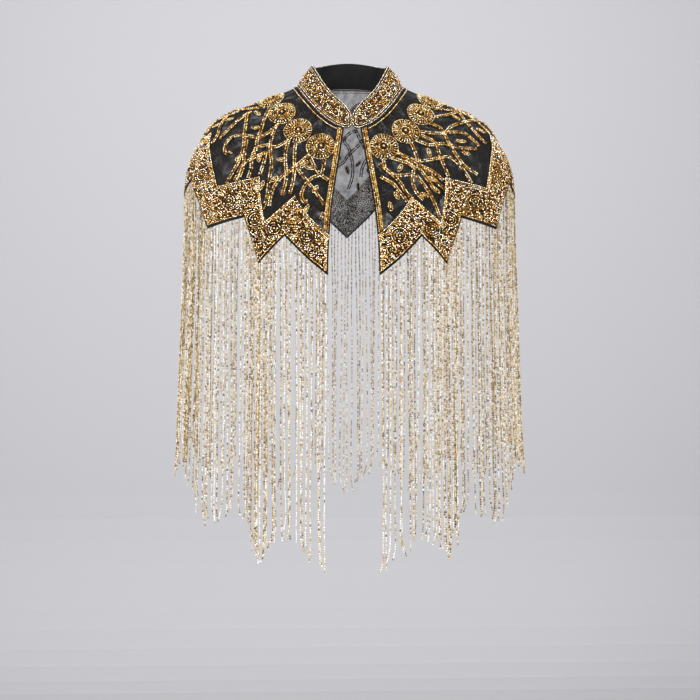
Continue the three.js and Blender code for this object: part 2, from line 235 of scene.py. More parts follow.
def directions(surface, angle, share):
    """Along the ring and down the cape, for one degree and one share, and the unit vector out."""
    turn, drop = 0.05, 0.0005
    along = (surface(angle + turn, share) - surface(angle - turn, share)) / (2 * turn)
    down = (surface(angle, share + drop) - surface(angle, share - drop)) / (2 * drop)
    return along, down, unit(np.cross(down, along))


def lifted(surface, angle, share, height):
    out = directions(surface, angle, share)[2]
    return surface(angle, share) + out * np.asarray(height, float)[..., None]


def run_of(line):
    """The distance along a line of points to each of them."""
    steps = np.linalg.norm(np.diff(line, axis=0), axis=1)
    return np.concatenate([[0], np.cumsum(steps)])


def arc_table(share, start, stop):
    """Angles round a ring and the distance to each, so that places can be spaced evenly."""
    angles = np.append(np.arange(start, stop, 0.5), stop)
    return angles, run_of(point_on_ring(ring_at(np.full(angles.shape, share)), angles))


NECK_ANGLES, NECK_LENGTHS = arc_table(0, 0, 180)


def angle_of_tooth(tooth):
    """Angle of a place counted in teeth from the front edge. Below zero it is on the right front."""
    from_front = np.abs(np.asarray(tooth, float))
    turn = np.interp(np.minimum(from_front, 2 * TEETH_PER_HALF - from_front), HEM[:, 0], HEM[:, 1])
    turn = np.where(from_front > TEETH_PER_HALF, 360 - turn, turn)
    return np.where(np.asarray(tooth) < 0, -turn, turn)


def tooth_of_angle(angle):
    return np.interp(np.abs(wrapped(angle)), HEM[:, 1], HEM[:, 0])


def hem_share(tooth):
    from_front = np.abs(tooth)
    return np.interp(np.minimum(from_front, 2 * TEETH_PER_HALF - from_front), HEM[:, 0], HEM[:, 2])


def border_share(tooth):
    return hem_share(tooth) - BORDER_SHARE


def net_point_near(angle, share, right, below, height):
    """A point right and below of a place on the net, in mm measured on the cloth."""
    along, down, out = directions(net_point, angle, share)
    ahead = unit(along)
    low = np.cross(ahead, out)
    drop = below / np.sum(down * low, -1)
    turn = (right - drop * np.sum(down * ahead, -1)) / np.linalg.norm(along, axis=-1)
    return lifted(net_point, angle + turn, share + drop, height)


HALF_GAP = (SEAM_GAP / 2 / NECK_LENGTHS[-1]) * TEETH_PER_HALF
SIDES = ((1, "left"), (-1, "right"))
PANELS = {
    "front_right": (-3 + HALF_GAP, 0.0),
    "front_left": (0.0, 3 - HALF_GAP),
    "back": (3 + HALF_GAP, 9 - HALF_GAP),
}

# ---- materials ------------------------------------------------------------------------------------


def colour(hex_value):
    """A linear colour from an sRGB hex value."""
    parts = [int(hex_value[k : k + 2], 16) / 255 for k in (1, 3, 5)]
    linear = [c / 12.92 if c <= 0.04045 else ((c + 0.055) / 1.055) ** 2.4 for c in parts]
    return (*linear, 1)


def add(tree, kind, settings=None, inputs=None, links=None, stops=()):
    """A node with its settings, the values of its inputs, links into it, and its colour stops."""
    node = tree.nodes.new("ShaderNode" + kind)
    for name, value in (settings or {}).items():
        setattr(node, name, value)
    for name, value in (inputs or {}).items():
        node.inputs[name].default_value = value
    for name, source in (links or {}).items():
        tree.links.new(source, node.inputs[name])
    for number, (place, hex_value) in enumerate(stops):
        elements = node.color_ramp.elements
        element = elements[number] if number < len(elements) else elements.new(place)
        element.position = place
        element.color = colour(hex_value)
    return node


def empty_material(name):
    material = bpy.data.materials.new(name)
    material.use_nodes = True
    material.node_tree.nodes.clear()
    return material, material.node_tree


def finish_material(tree, values, links):
    shader = add(tree, "BsdfPrincipled", inputs=values, links=links)
    add(tree, "OutputMaterial", links={"Surface": shader.outputs[0]})


# Black nylon tulle: hexagonal net of fine matt yarn with a faint sheen. Its real mesh of about 1 mm
# is finer than shows, so it is drawn at 1.6 mm, and what lies behind it shows through as darker. Its
# closeness varies in soft patches, so more or less of what lies behind shows: partly an uneven net,
# partly painted reflection that stands in for light off the wearer's form inside.
def tulle(name, closeness, unevenness_with_painted_reflection):
    material, tree = empty_material(name)
    place = add(tree, "UVMap", {"uv_map": "cloth_mm"}).outputs["UV"]
    cells = add(
        tree,
        "TexVoronoi",
        {"voronoi_dimensions": "2D", "feature": "DISTANCE_TO_EDGE"},
        {"Scale": 1 / 1.6, "Randomness": 0.25},
        {"Vector": place},
    )
    yarn = add(
        tree, "ValToRGB", links={"Fac": cells.outputs["Distance"]}, stops=[(0.1, "#ffffff"), (0.3, "#000000")]
    )
    cloud = add(
        tree,
        "TexNoise",
        inputs={"Scale": 1 / 15, "Detail": 3.0, "Roughness": 0.6},
        links={"Vector": place},
    )
    # Patchy closeness: partly an uneven net, partly painted reflection.
    uneven_with_painted_reflection = add(
        tree,
        "MapRange",
        inputs={
            "From Min": 0.34,
            "From Max": 0.66,
            "To Min": closeness - unevenness_with_painted_reflection,
            "To Max": closeness + unevenness_with_painted_reflection,
        },
        links={"Value": cloud.outputs["Fac"]},
    )
    alpha = add(
        tree,
        "Math",
        {"operation": "MULTIPLY_ADD", "use_clamp": True},
        {1: 0.22},
        {0: yarn.outputs["Color"], 2: uneven_with_painted_reflection.outputs["Result"]},
    )
    bump = add(
        tree, "Bump", inputs={"Strength": 0.4, "Distance": 0.0003}, links={"Height": yarn.outputs["Color"]}
    )
    tone = add(
        tree, "ValToRGB", links={"Fac": cloud.outputs["Fac"]}, stops=[(0.3, "#080706"), (0.75, "#171513")]
    )
    finish_material(
        tree,
        {"Roughness": 0.8, "Specular IOR Level": 0.12, "Sheen Weight": 0.03, "Sheen Roughness": 0.4},
        {
            "Base Color": tone.outputs["Color"],
            "Alpha": alpha.outputs["Value"],
            "Normal": bump.outputs["Normal"],
        },
    )
    return material


def finish_cloth(tree, noise, stops, roughness, relief, depth, values):
    """The rest of a close black cloth: noise gives its tone and roughness, and relief its bump."""
    tone = add(tree, "ValToRGB", links={"Fac": noise}, stops=stops)
    rough = add(
        tree, "MapRange", inputs={"To Min": roughness[0], "To Max": roughness[1]}, links={"Value": noise}
    )
    bump = add(tree, "Bump", inputs={"Strength": depth, "Distance": 0.0002}, links={"Height": relief})
    finish_material(tree, values, {
        "Base Color": tone.outputs["Color"],
        "Roughness": rough.outputs["Result"],
        "Normal": bump.outputs["Normal"],
    })


# Black cotton sateen, woven at about 30 threads to the centimetre: dark and soft, with a low sheen
# along its warp. The weave is drawn at 0.8 mm so that it shows.
def sateen(name):
    material, tree = empty_material(name)
    place = add(tree, "UVMap", {"uv_map": "cloth_mm"}).outputs["UV"]
    warp = add(
        tree,
        "TexWave",
        {"bands_direction": "X"},
        {"Scale": 1 / 0.8 / 6.28, "Distortion": 1.5, "Detail": 2.0},
        {"Vector": place},
    )
    cloud = add(tree, "TexNoise", inputs={"Scale": 1 / 9, "Detail": 4.0}, links={"Vector": place})
    values = {"Specular IOR Level": 0.25, "Sheen Weight": 0.08, "Sheen Roughness": 0.35}
    stops = [(0.3, "#0c0c0c"), (0.7, "#1a1a1b")]
    finish_cloth(tree, cloud.outputs["Fac"], stops, (0.55, 0.75), warp.outputs["Fac"], 0.35, values)
    return material


# Black satin bias tape or sewing thread: smooth yarn, so it catches one soft light line along it.
def satin(name):
    material, tree = empty_material(name)
    place = add(tree, "TexCoord").outputs["Object"]
    fibre = add(tree, "TexNoise", inputs={"Scale": 700.0, "Detail": 3.0}, links={"Vector": place})
    values = {"Specular IOR Level": 0.14, "Sheen Weight": 0.02, "Sheen Roughness": 0.3}
    stops = [(0.3, "#040404"), (0.7, "#0b0b0c")]
    finish_cloth(tree, fibre.outputs["Fac"], stops, (0.38, 0.6), fibre.outputs["Fac"], 0.3, values)
    return material


# Silver-lined cut glass beads: a bright foil seen through tinted glass, so the facets catch real glints.
# Each bead's tone also picks a colour from a ramp that runs from near black, painted shade for beads
# turned away from the light, through amber to near white, a painted glint.
def beads(name, stops, metallic, roughness):
    material, tree = empty_material(name)
    place = add(tree, "TexCoord").outputs["Object"]
    tone = add(tree, "Attribute", {"attribute_name": "tone"})
    mottle = add(tree, "TexNoise", inputs={"Scale": 900.0, "Detail": 2.0}, links={"Vector": place})
    mixed = add(
        tree,
        "Math",
        {"operation": "MULTIPLY_ADD", "use_clamp": True},
        {1: 0.16},
        {0: mottle.outputs["Fac"], 2: tone.outputs["Fac"]},
    )
    tint = add(tree, "ValToRGB", links={"Fac": mixed.outputs["Value"]}, stops=stops)
    rough = add(
        tree,
        "MapRange",
        inputs={"To Min": roughness - 0.08, "To Max": roughness + 0.14},
        links={"Value": mottle.outputs["Fac"]},
    )
    finish_material(
        tree,
        {"Metallic": metallic, "Coat Weight": 0.2, "Coat Roughness": 0.04},
        {"Base Color": tint.outputs["Color"], "Roughness": rough.outputs["Result"]},
    )
    return material


# Colour ramps of the beads' tones. The near-black lowest stops are painted shade, the near-white highest
# stops are painted glints, and the golds between are the beads' own colour.
GOLD_WITH_PAINTED_GLINT_AND_SHADE = [
    (0.0, "#1a0d03"),
    (0.16, "#452607"),
    (0.34, "#8f5712"),
    (0.54, "#c08a34"),
    (0.72, "#e4b455"),
    (0.86, "#fbdf9a"),
    (1.0, "#fff6dc"),
]
SEQUIN_GOLD_WITH_PAINTED_GLINT_AND_SHADE = [
    (0.0, "#180c03"),
    (0.2, "#4a2907"),
    (0.36, "#86500e"),
    (0.52, "#b77f2a"),
    (0.66, "#e1ae54"),
    (0.8, "#fbdf9e"),
    (0.97, "#fffaf0"),
]
CHAMPAGNE_WITH_PAINTED_GLINT_AND_SHADE = [
    (0.0, "#3c2d16"),
    (0.16, "#7f6535"),
    (0.34, "#b4965a"),
    (0.5, "#dcc28e"),
    (0.68, "#f6e8ca"),
    (0.9, "#ffffff"),
]

tulle_net = tulle("tulle_black_nylon", 0.22, 0.1)
# The fronts' doubled net has the widest patches, partly painted reflection.
tulle_doubled = tulle("tulle_black_nylon_doubled", 0.58, 0.36)
tulle_padding = tulle("tulle_black_nylon_padding", 0.2, 0.1)
tulle_under_beads = tulle("tulle_black_nylon_under_beads", 0.02, 0.1)
tulle_doubled_under_beads = tulle("tulle_black_nylon_doubled_under_beads", 0.6, 0.2)
collar_sateen = sateen("sateen_black_cotton")
tape = satin("bias_tape_black_satin")
thread = satin("sewing_thread_black_polyester")
gold_glass = beads("glass_beads_silver_lined_gold", GOLD_WITH_PAINTED_GLINT_AND_SHADE, 0.9, 0.24)
sequin_gold = beads("sequins_and_cut_beads_gold", SEQUIN_GOLD_WITH_PAINTED_GLINT_AND_SHADE, 0.95, 0.2)
champagne_glass = beads("glass_beads_silver_lined_champagne", CHAMPAGNE_WITH_PAINTED_GLINT_AND_SHADE, 0.45, 0.24)

# ---- meshes ---------------------------------------------------------------------------------------


def mesh_object(name, points, faces, material):
    """An object from points in mm and faces with three or four corners."""
    faces = np.asarray(faces)
    corners = faces.shape[1]
    mesh = bpy.data.meshes.new(name)
    mesh.vertices.add(len(points))
    mesh.vertices.foreach_set("co", (np.asarray(points) * MM).astype(np.float32).ravel())
    mesh.loops.add(faces.size)
    mesh.loops.foreach_set("vertex_index", faces.astype(np.int32).ravel())
    mesh.polygons.add(len(faces))
    mesh.polygons.foreach_set("loop_start", np.arange(0, faces.size, corners, dtype=np.int32))
    mesh.update(calc_edges=True)
    mesh.materials.append(material)
    item = bpy.data.objects.new(name, mesh)
    bpy.context.scene.collection.objects.link(item)
    return item


def place_piece(item, replaced=()):
    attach(item, "root")
    if replaced:
        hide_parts(*replaced)


def shade_cloth(item):
    bpy.ops.object.select_all(action="DESELECT")
    item.select_set(True)
    bpy.context.view_layer.objects.active = item
    bpy.ops.object.shade_smooth_by_angle(angle=math.radians(50))


def flat_grid(points):
    """Distances along and down a grid of points, in mm, for its UV map."""
    along = np.linalg.norm(np.diff(points, axis=0), axis=2).mean(1)
    down = np.linalg.norm(np.diff(points, axis=1), axis=2)
    x = np.concatenate([[0], np.cumsum(along)])
    y = np.concatenate([np.zeros((len(points), 1)), np.cumsum(down, 1)], 1)
    return np.stack([np.broadcast_to(x[:, None], y.shape), -y], -1)


def cloth_shell(name, outer, inner, material, slot="net", replaced=()):
    """A piece of cloth as a closed shell between two grids of points, with its UV map in mm."""
    columns, rows = outer.shape[0] - 1, outer.shape[1] - 1
    points = np.concatenate([outer.reshape(-1, 3), inner.reshape(-1, 3)])
    layer = (columns + 1) * (rows + 1)
    at = np.arange(layer).reshape(columns + 1, rows + 1)
    out = np.stack([at[:-1, :-1], at[:-1, 1:], at[1:, 1:], at[1:, :-1]], -1).reshape(-1, 4)
    back = (out + layer)[:, ::-1]
    top = np.stack([at[:-1, 0], at[1:, 0], at[1:, 0] + layer, at[:-1, 0] + layer], -1)
    low = np.stack([at[1:, -1], at[:-1, -1], at[:-1, -1] + layer, at[1:, -1] + layer], -1)
    first = np.stack([at[0, 1:], at[0, :-1], at[0, :-1] + layer, at[0, 1:] + layer], -1)
    last = np.stack([at[-1, :-1], at[-1, 1:], at[-1, 1:] + layer, at[-1, :-1] + layer], -1)
    faces = np.concatenate([out, back, top, low, first, last])
    item = mesh_object(name, points, faces, material)
    uv = np.tile(flat_grid(outer).reshape(-1, 2), (2, 1))[faces.ravel()]
    item.data.uv_layers.new(name="cloth_mm").uv.foreach_set("vector", uv.astype(np.float32).ravel())
    shade_cloth(item)
    place_piece(item, replaced)


def take_shape(item):
    """Points and triangles of a modelled bead, and the bead itself put away."""
    item.data.calc_loop_triangles()
    points = np.array([v.co for v in item.data.vertices])
    faces = np.array([t.vertices for t in item.data.loop_triangles])
    bpy.data.objects.remove(item)
    return points, faces


def cut_bead(sides, end_share):
    """A cut bead one unit long and wide: a prism whose ends are drawn out to low points."""
    bpy.ops.object.select_all(action="DESELECT")
    bpy.ops.mesh.primitive_cylinder_add(
        vertices=sides, radius=0.5, depth=1 - 2 * end_share, end_fill_type="TRIFAN"
    )
    item = bpy.context.object
    for end in (1, -1):
        bpy.ops.object.mode_set(mode="EDIT")
        bpy.ops.mesh.select_mode(type="VERT")
        bpy.ops.mesh.select_all(action="DESELECT")
        bpy.ops.object.mode_set(mode="OBJECT")
        for vertex in item.data.vertices:
            vertex.select = vertex.co.xy.length < 0.01 and vertex.co.z * end > 0
        bpy.ops.object.mode_set(mode="EDIT")
        bpy.ops.transform.translate(value=(0, 0, end * end_share))
        bpy.ops.object.mode_set(mode="OBJECT")
    return take_shape(item)


CUT_BEAD = cut_bead(4, 0.2)

bpy.ops.object.select_all(action="DESELECT")
bpy.ops.mesh.primitive_ico_sphere_add(subdivisions=2, radius=0.5)
BALL = take_shape(bpy.context.object)
UPWARDS = np.array([[0, 0, 1.0]])


class Beadwork:
    """Beads sewn on one piece, joined to one mesh with a tone for each bead."""

    def __init__(self):
        self.points = []
        self.faces = []
        self.tones = []
        self.count = 0

    def sew(self, shape, centres, axes, outs, size, tones, twist=0.0):
        """Beads with their length along axes. size is width, thickness and length, in mm."""
        corners, triangles = shape
        centres = np.asarray(centres)
        if not len(centres):
            return
        side = unit(np.cross(axes, outs))
        front = np.cross(side, axes)
        turn = np.broadcast_to(twist, len(centres))[:, None]
        across = side * np.cos(turn) + front * np.sin(turn)
        proud = front * np.cos(turn) - side * np.sin(turn)
        size = np.broadcast_to(size, (len(centres), 3))
        points = (
            centres[:, None]
            + corners[None, :, :1] * (across * size[:, :1])[:, None]
            + corners[None, :, 1:2] * (proud * size[:, 1:2])[:, None]
            + corners[None, :, 2:] * (axes * size[:, 2:])[:, None]
        )
        first = self.count + np.arange(len(centres)) * len(corners)
        self.points.append(points.reshape(-1, 3))
        self.faces.append((triangles[None] + first[:, None, None]).reshape(-1, 3))
        self.tones.append(np.repeat(np.broadcast_to(tones, len(centres)), len(corners)))
        self.count += len(centres) * len(corners)

    def finish(self, name, material, slot, replaced=()):
        faces = np.concatenate(self.faces)
        item = mesh_object(name, np.concatenate(self.points), faces, material)
        tones = np.clip(np.concatenate(self.tones), 0, 1).astype(np.float32)
        item.data.attributes.new("tone", "FLOAT", "POINT").data.foreach_set("value", tones)
        place_piece(item, replaced)


def spaced(line, outs, pitch):
    """Bead places along a line of points: centres, axes and directions out."""
    run = run_of(line)
    count = max(1, int(round(run[-1] / pitch)))
    at = (np.arange(count) + 0.5) * run[-1] / count
    half = 0.35 * run[-1] / count

    def along(values, where):
        return np.stack([np.interp(where, run, values[:, k]) for k in range(3)], -1)

    axes = unit(along(line, at + half) - along(line, at - half))
    outs = along(outs, at)
    outs = unit(outs - axes * np.sum(outs * axes, -1, keepdims=True))
    return along(line, at), axes, outs


def spline(points, samples):
    """A smooth curve through points, each with any number of columns."""
    points = np.asarray(points, float)
    padded = np.concatenate([[2 * points[0] - points[1]], points, [2 * points[-1] - points[-2]]])
    at = np.linspace(0, len(points) - 1 - 1e-9, samples)
    k = at.astype(int)
    t = (at - k)[:, None]
    a, b, c, d = padded[k], padded[k + 1], padded[k + 2], padded[k + 3]
    square = (2 * a - 5 * b + 4 * c - d) * t**2
    cube = (3 * b - a - 3 * c + d) * t**3
    return 0.5 * (2 * b + (c - a) * t + square + cube)


def net_row(angles, shares, pitch, aside, height):
    """Bead places along a path on the net, moved aside on the cloth and lifted off it."""
    base = net_point(angles, shares)
    out = directions(net_point, angles, shares)[2]
    axis = unit(np.gradient(base, axis=0))
    side = unit(np.cross(out, axis))
    return spaced(base + out * height + side * aside, out, pitch)


def tones_of(count, spread, middle):
    return middle + spread * rng.standard_normal(count)


def sew_beads(work, places, size, spread, middle, turn=0.3):
    """Cut beads at their places, with tones spread round a middle one, each turned a little."""
    count = len(places[0])
    tones = tones_of(count, spread, middle)
    work.sew(CUT_BEAD, *places, size, tones, rng.uniform(-turn, turn, count))


def lying(surface, angle, share, height, heading):
    """Bead places on a surface, their length turned to heading on the cloth, in radians."""
    along, down, out = directions(surface, angle, share)
    ahead = unit(along)
    axes = ahead * np.cos(heading)[:, None] + np.cross(ahead, out) * np.sin(heading)[:, None]
    return surface(angle, share) + out * np.asarray(height)[..., None], axes, out


def tipped(axes, outs, amount):
    """Axes leaning off the cloth by a random amount, as beads sewn over each other do."""
    lean = amount * rng.standard_normal(len(axes))[:, None]
    return unit(axes + outs * lean)


def scatter(work, surface, angle, share, kind):
    """Cut beads lying all ways, some of them long ones."""
    count = len(angle)
    heading = rng.uniform(0, math.pi, count)
    height = kind["lift"] + rng.uniform(*kind["rise"], count)
    centres, axes, outs = lying(surface, angle, share, height, heading)
    long_ones = rng.random(count) < kind["long_part"]
    size = np.stack([
        rng.uniform(*kind["width"], count),
        rng.uniform(*kind["thickness"], count),
        np.where(long_ones, rng.uniform(*kind["long_length"], count), rng.uniform(*kind["length"], count)),
    ], -1)
    places = centres, tipped(axes, outs, kind["lean"]), outs
    sew_beads(work, places, size, 0.36, kind["tone"], 0.5)


# ---- net, border ground and bindings --------------------------------------------------------------

COLUMNS_PER_TOOTH = 24


def angle_in_panel(panel, teeth):
    """Angles of places in a panel. The right front mirrors the left one, also at its very edge."""
    return -angle_of_tooth(-teeth) if panel == "front_right" else angle_of_tooth(teeth)


def panel_places(panel, steps_per_tooth):
    """Teeth and angles of a panel's columns, closer to its ends at the seams."""
    first, last = PANELS[panel]
    whole = np.arange(round(first * steps_per_tooth), round(last * steps_per_tooth) + 1) / steps_per_tooth
    teeth = np.clip(whole, first, last)
    return teeth, angle_in_panel(panel, teeth)


def panel_grid(panel, low_rows, from_share, to_share, height):
    teeth, angles = panel_places(panel, COLUMNS_PER_TOOTH)
    part = np.linspace(0, 1, low_rows + 1)[None, :]
    start = from_share(teeth)[:, None]
    share = start + (to_share(teeth)[:, None] - start) * part
    angle = np.broadcast_to(angles[:, None], share.shape)
    return lifted(net_point, angle, share, height)


def neck_share(tooth):
    return 0 * tooth


NET_THICKNESS = 0.35
GROUND_THICKNESS = 0.4
for panel in PANELS:
    outer = panel_grid(panel, 40, neck_share, hem_share, 0)
    inner = panel_grid(panel, 40, neck_share, hem_share, -NET_THICKNESS)
    net_cloth, ground_cloth = tulle_net, tulle_under_beads
    if panel != "back":
        net_cloth, ground_cloth = tulle_doubled, tulle_doubled_under_beads
    cloth_shell(f"net_{panel}", outer, inner, net_cloth, replaced=[f"yoke_{panel}"])
    outer = panel_grid(panel, 10, border_share, hem_share, SEAM_GAP + GROUND_THICKNESS)
    inner = panel_grid(panel, 10, border_share, hem_share, SEAM_GAP)
    cloth_shell(f"border_ground_{panel}", outer, inner, ground_cloth, replaced=[f"border_{panel}"])


def below_hem(angle, tooth, drop, height):
    share = hem_share(tooth)
    down, out = directions(net_point, angle, share)[1:]
    drop = np.asarray(drop, float)[..., None]
    return net_point(angle, share) + unit(down) * drop + out * np.asarray(height, float)[..., None]


def hem_grid(panel, drops, heights):
    teeth, angles = panel_places(panel, COLUMNS_PER_TOOTH)
    shape = (len(teeth), len(drops))
    tooth = np.broadcast_to(teeth[:, None], shape)
    angle = np.broadcast_to(angles[:, None], shape)
    return below_hem(angle, tooth, drops, heights)


BINDING_DROPS = [-0.5, 0.8, 2.2]
for panel in PANELS:
    outer = hem_grid(panel, BINDING_DROPS, [1.5, 1.8, 1.0])
    inner = hem_grid(panel, BINDING_DROPS, [0.85, 0.4, 0.2])
    cloth_shell(f"hem_binding_{panel}", outer, inner, tape)


def edge_angle(side, share, inwards):
    """Angle of a place that lies inwards of a front edge, in mm along the ring."""
    return side * (FRONT_EDGE_ANGLE + np.degrees(inwards / ring_at(share)[:, 1]))


# The same tape folded over each front edge of the border.
for side, side_name in SIDES:
    share = np.linspace(float(border_share(0)) + 0.002, 0.999, 25)
    faces = []
    for heights in ([1.5, 2.0, 1.7], [0.8, 0.8, 0.8]):
        columns = [
            lifted(net_point, edge_angle(side, share, inwards), share, height)
            for inwards, height in zip((0.1, 0.7, 1.4), heights)
        ]
        faces.append(np.stack(columns[::side]))
    cloth_shell(f"edge_binding_{side_name}", *faces, tape)

# ---- border beading -------------------------------------------------------------------------------

BEAD_HEIGHT = SEAM_GAP + GROUND_THICKNESS
BEAD_PITCH = 2.6
PLACES_PER_TOOTH = 48
BORDER_MIDDLE = 0.125
# How far the scattered beads keep from the border's upper edge and from its hem, in share.
ROOM_FOR_ROWS = 0.039
ROOM_FOR_HEM = 0.014
# Rings of a medallion: radius, beads and their length.
MEDALLION_RINGS = [(4.0, 9, 2.3), (7.1, 15, 2.6), (10.3, 23, 2.4)]
MEDALLION_RADIUS = 11.8
# The beads that fill the border, with the range of each size in mm.
BORDER_FILL = {
    "lift": BEAD_HEIGHT,
    "rise": (0.5, 1.0),
    "width": (1.3, 1.9),
    "thickness": (1.1, 1.6),
    "length": (1.6, 2.3),
    "long_length": (2.8, 3.6),
    "long_part": 0.15,
    "lean": 0.2,
    "tone": 0.53,
}


def medallion(work, angle, share, height):
    """A small concentric motif: rings of beads round a ball with a dark gap round it."""
    at = np.array([angle])
    level = np.array([share])
    centre = net_point_near(at, level, 0.0, 0.0, height)
    out = directions(net_point, at, level)[2]
    work.sew(BALL, centre, UPWARDS, out, (2.6, 2.6, 2.6), 0.7)
    for radius, count, length in MEDALLION_RINGS:
        turn = np.linspace(0, 2 * math.pi, 4 * count + 1)
        angles = np.full(turn.shape, angle)
        shares = np.full(turn.shape, share)
        line = net_point_near(angles, shares, radius * np.cos(turn), radius * np.sin(turn), height)
        places = spaced(line, np.broadcast_to(out, line.shape), 2 * math.pi * radius / count)
        sew_beads(work, places, (1.9, 1.5, length), 0.22, 0.6, 0.4)


def edge_row(work, panel, level, size, middle):
    """A row of beads along the zigzag. level gives the share of each place."""
    teeth, angles = panel_places(panel, PLACES_PER_TOOTH)
    base = lifted(net_point, angles, level(teeth), BEAD_HEIGHT + 0.7)
    out = directions(net_point, angles, level(teeth))[2]
    sew_beads(work, spaced(base, out, BEAD_PITCH), size, 0.2, middle)


medallions = [(tooth, border_share(tooth) + BORDER_MIDDLE) for tooth in (np.arange(24) * 0.5 + 0.25)]
CLOTH_MM_PER_SHARE = 205
SCATTER_PITCH = 2.2
STRAY = 0.38
# How near the scattered beads come to each panel's ends, in mm: the edge rows take the free edges.
FREE_EDGE = {"front_right": (1.2, 2.6), "front_left": (2.6, 1.2), "back": (1.2, 1.2)}
# Each bead row along the border's upper edge: its share below that edge, and its middle tone.
EDGE_ROWS = [(0.008, 0.8), (0.0205, 0.56), (0.033, 0.72)]


def scatter_places(panel):
    """Teeth and shares of beads spread evenly over a border, each a little off its place."""
    teeth, angles = panel_places(panel, PLACES_PER_TOOTH)
    run = run_of(net_point(angles, np.full(teeth.shape, 0.85)))
    columns = int(run[-1] / SCATTER_PITCH)
    rows = int(BORDER_SHARE * CLOTH_MM_PER_SHARE / SCATTER_PITCH)
    grids = np.meshgrid(np.arange(columns), np.arange(rows), indexing="ij")
    column, row = [grid.ravel() for grid in grids]
    at = (column + 0.5 + rng.uniform(-STRAY, STRAY, len(column))) * run[-1] / columns
    first, last = FREE_EDGE[panel]
    tooth = np.interp(np.clip(at, first, run[-1] - last), run, teeth)
    level = (row + 0.5 + rng.uniform(-STRAY, STRAY, len(row))) / rows
    height = BORDER_SHARE - ROOM_FOR_ROWS - ROOM_FOR_HEM
    return tooth, border_share(tooth) + ROOM_FOR_ROWS + height * level


for panel, (first, last) in PANELS.items():
    work = Beadwork()
    tooth, share = scatter_places(panel)
    angle = angle_in_panel(panel, tooth)
    centres = net_point(angle, share)
    clear = np.ones(len(tooth), bool)
    for place, at_share in medallions:
        if first < place < last or first < -place < last:
            turn = angle_of_tooth(place if first < place < last else -place)
            middle = net_point(turn, at_share)
            clear &= np.linalg.norm(centres - middle, axis=1) > MEDALLION_RADIUS
            medallion(work, float(turn), float(at_share), BEAD_HEIGHT + 0.8)
    scatter(work, net_point, angle[clear], share[clear], BORDER_FILL)
    for offset, middle in EDGE_ROWS:
        edge_row(work, panel, lambda tooth: border_share(tooth) + offset, (1.7, 1.5, 2.4), middle)
    edge_row(work, panel, lambda tooth: hem_share(tooth) - 0.009, (1.6, 1.4, 2.4), 0.6)
    if panel != "back":
        side = 1 if panel == "front_left" else -1
        for inwards in (2.4, 4.4):
            share = np.linspace(border_share(0) + 0.006, 0.985, 60)
            places = net_row(edge_angle(side, share, inwards), share, BEAD_PITCH, 0, BEAD_HEIGHT + 0.9)
            sew_beads(work, places, (1.5, 1.4, 2.4), 0.2, 0.68)
    work.finish(f"border_beads_{panel}", sequin_gold, "sequins", [f"border_{panel}"])

# ---- beaded rounds --------------------------------------------------------------------------------

ROUND_LEVEL = 0.18
FIRST_ROUND_ANGLE = 21.4
ROUND_RADIUS = 17.5
ROUND_ANGLES, ROUND_LENGTHS = arc_table(ROUND_LEVEL, FIRST_ROUND_ANGLE, 180)
ROUND_SPACING = ROUND_LENGTHS[-1] / 7.5
round_angles = np.interp(np.arange(8) * ROUND_SPACING, ROUND_LENGTHS, ROUND_ANGLES)

# Each ring of a round: radius, beads, width, length, height over the net, and middle tone. The
# beads lie along the ring, or point outwards where the last value is true.
ROUND_RINGS = [
    (17.7, 52, 1.2, 2.0, 1.1, 0.74, False),
    (14.5, 28, 1.5, 4.6, 1.5, 0.68, True),
    (11.3, 36, 1.15, 1.9, 2.0, 0.68, False),
    (8.9, 18, 2.2, 2.9, 2.2, 0.52, False),
    (5.9, 11, 2.3, 3.1, 2.1, 0.6, False),
    (2.9, 7, 1.3, 2.2, 2.2, 0.06, False),
]


def round_point(angle, radius, turn, height):
    shape = np.broadcast(radius, turn).shape
    at = np.full(shape, float(angle))
    level = np.full(shape, ROUND_LEVEL)
    right = np.broadcast_to(radius * np.cos(turn), shape)
    below = np.broadcast_to(radius * np.sin(turn), shape)
    return net_point_near(at, level, right, below, height)


# Section of the pad of folded net under a round's beads: radius and height, from its middle below.
PAD_SECTION = [(0, 0.45), (18.0, 0.45), (18.0, 0.8), (11, 1.4), (5, 1.5), (0, 1.9)]
PAD_SIDES = 24


def round_pad(angle):
    """The low pad that lifts a round's beads: points, faces and flat places."""
    turn = np.linspace(0, 2 * math.pi, PAD_SIDES, endpoint=False)
    rings = PAD_SECTION[1:-1]
    points = [round_point(angle, 0, np.zeros(1), PAD_SECTION[0][1])]
    points += [round_point(angle, radius, turn, height) for radius, height in rings]
    points.append(round_point(angle, 0, np.zeros(1), PAD_SECTION[-1][1]))
    points = np.concatenate(points)
    reach = np.concatenate([[0], np.repeat([radius for radius, height in rings], PAD_SIDES), [0]])
    around = np.concatenate([[0], np.tile(turn, len(rings)), [0]])
    flat = np.stack([reach * np.cos(around), reach * np.sin(around)], -1)
    ring = 1 + np.arange(PAD_SIDES)
    over = np.roll(ring, -1)
    faces = [np.stack([np.zeros(PAD_SIDES, int), over, ring], -1)]
    for low in range(0, PAD_SIDES * (len(rings) - 1), PAD_SIDES):
        high = low + PAD_SIDES
        faces.append(np.stack([ring + low, over + low, over + high], -1))
        faces.append(np.stack([ring + low, over + high, ring + high], -1))
    top = PAD_SIDES * (len(rings) - 1)
    peak = np.full(PAD_SIDES, len(points) - 1)
    faces.append(np.stack([ring + top, over + top, peak], -1))
    return points, np.concatenate(faces), flat


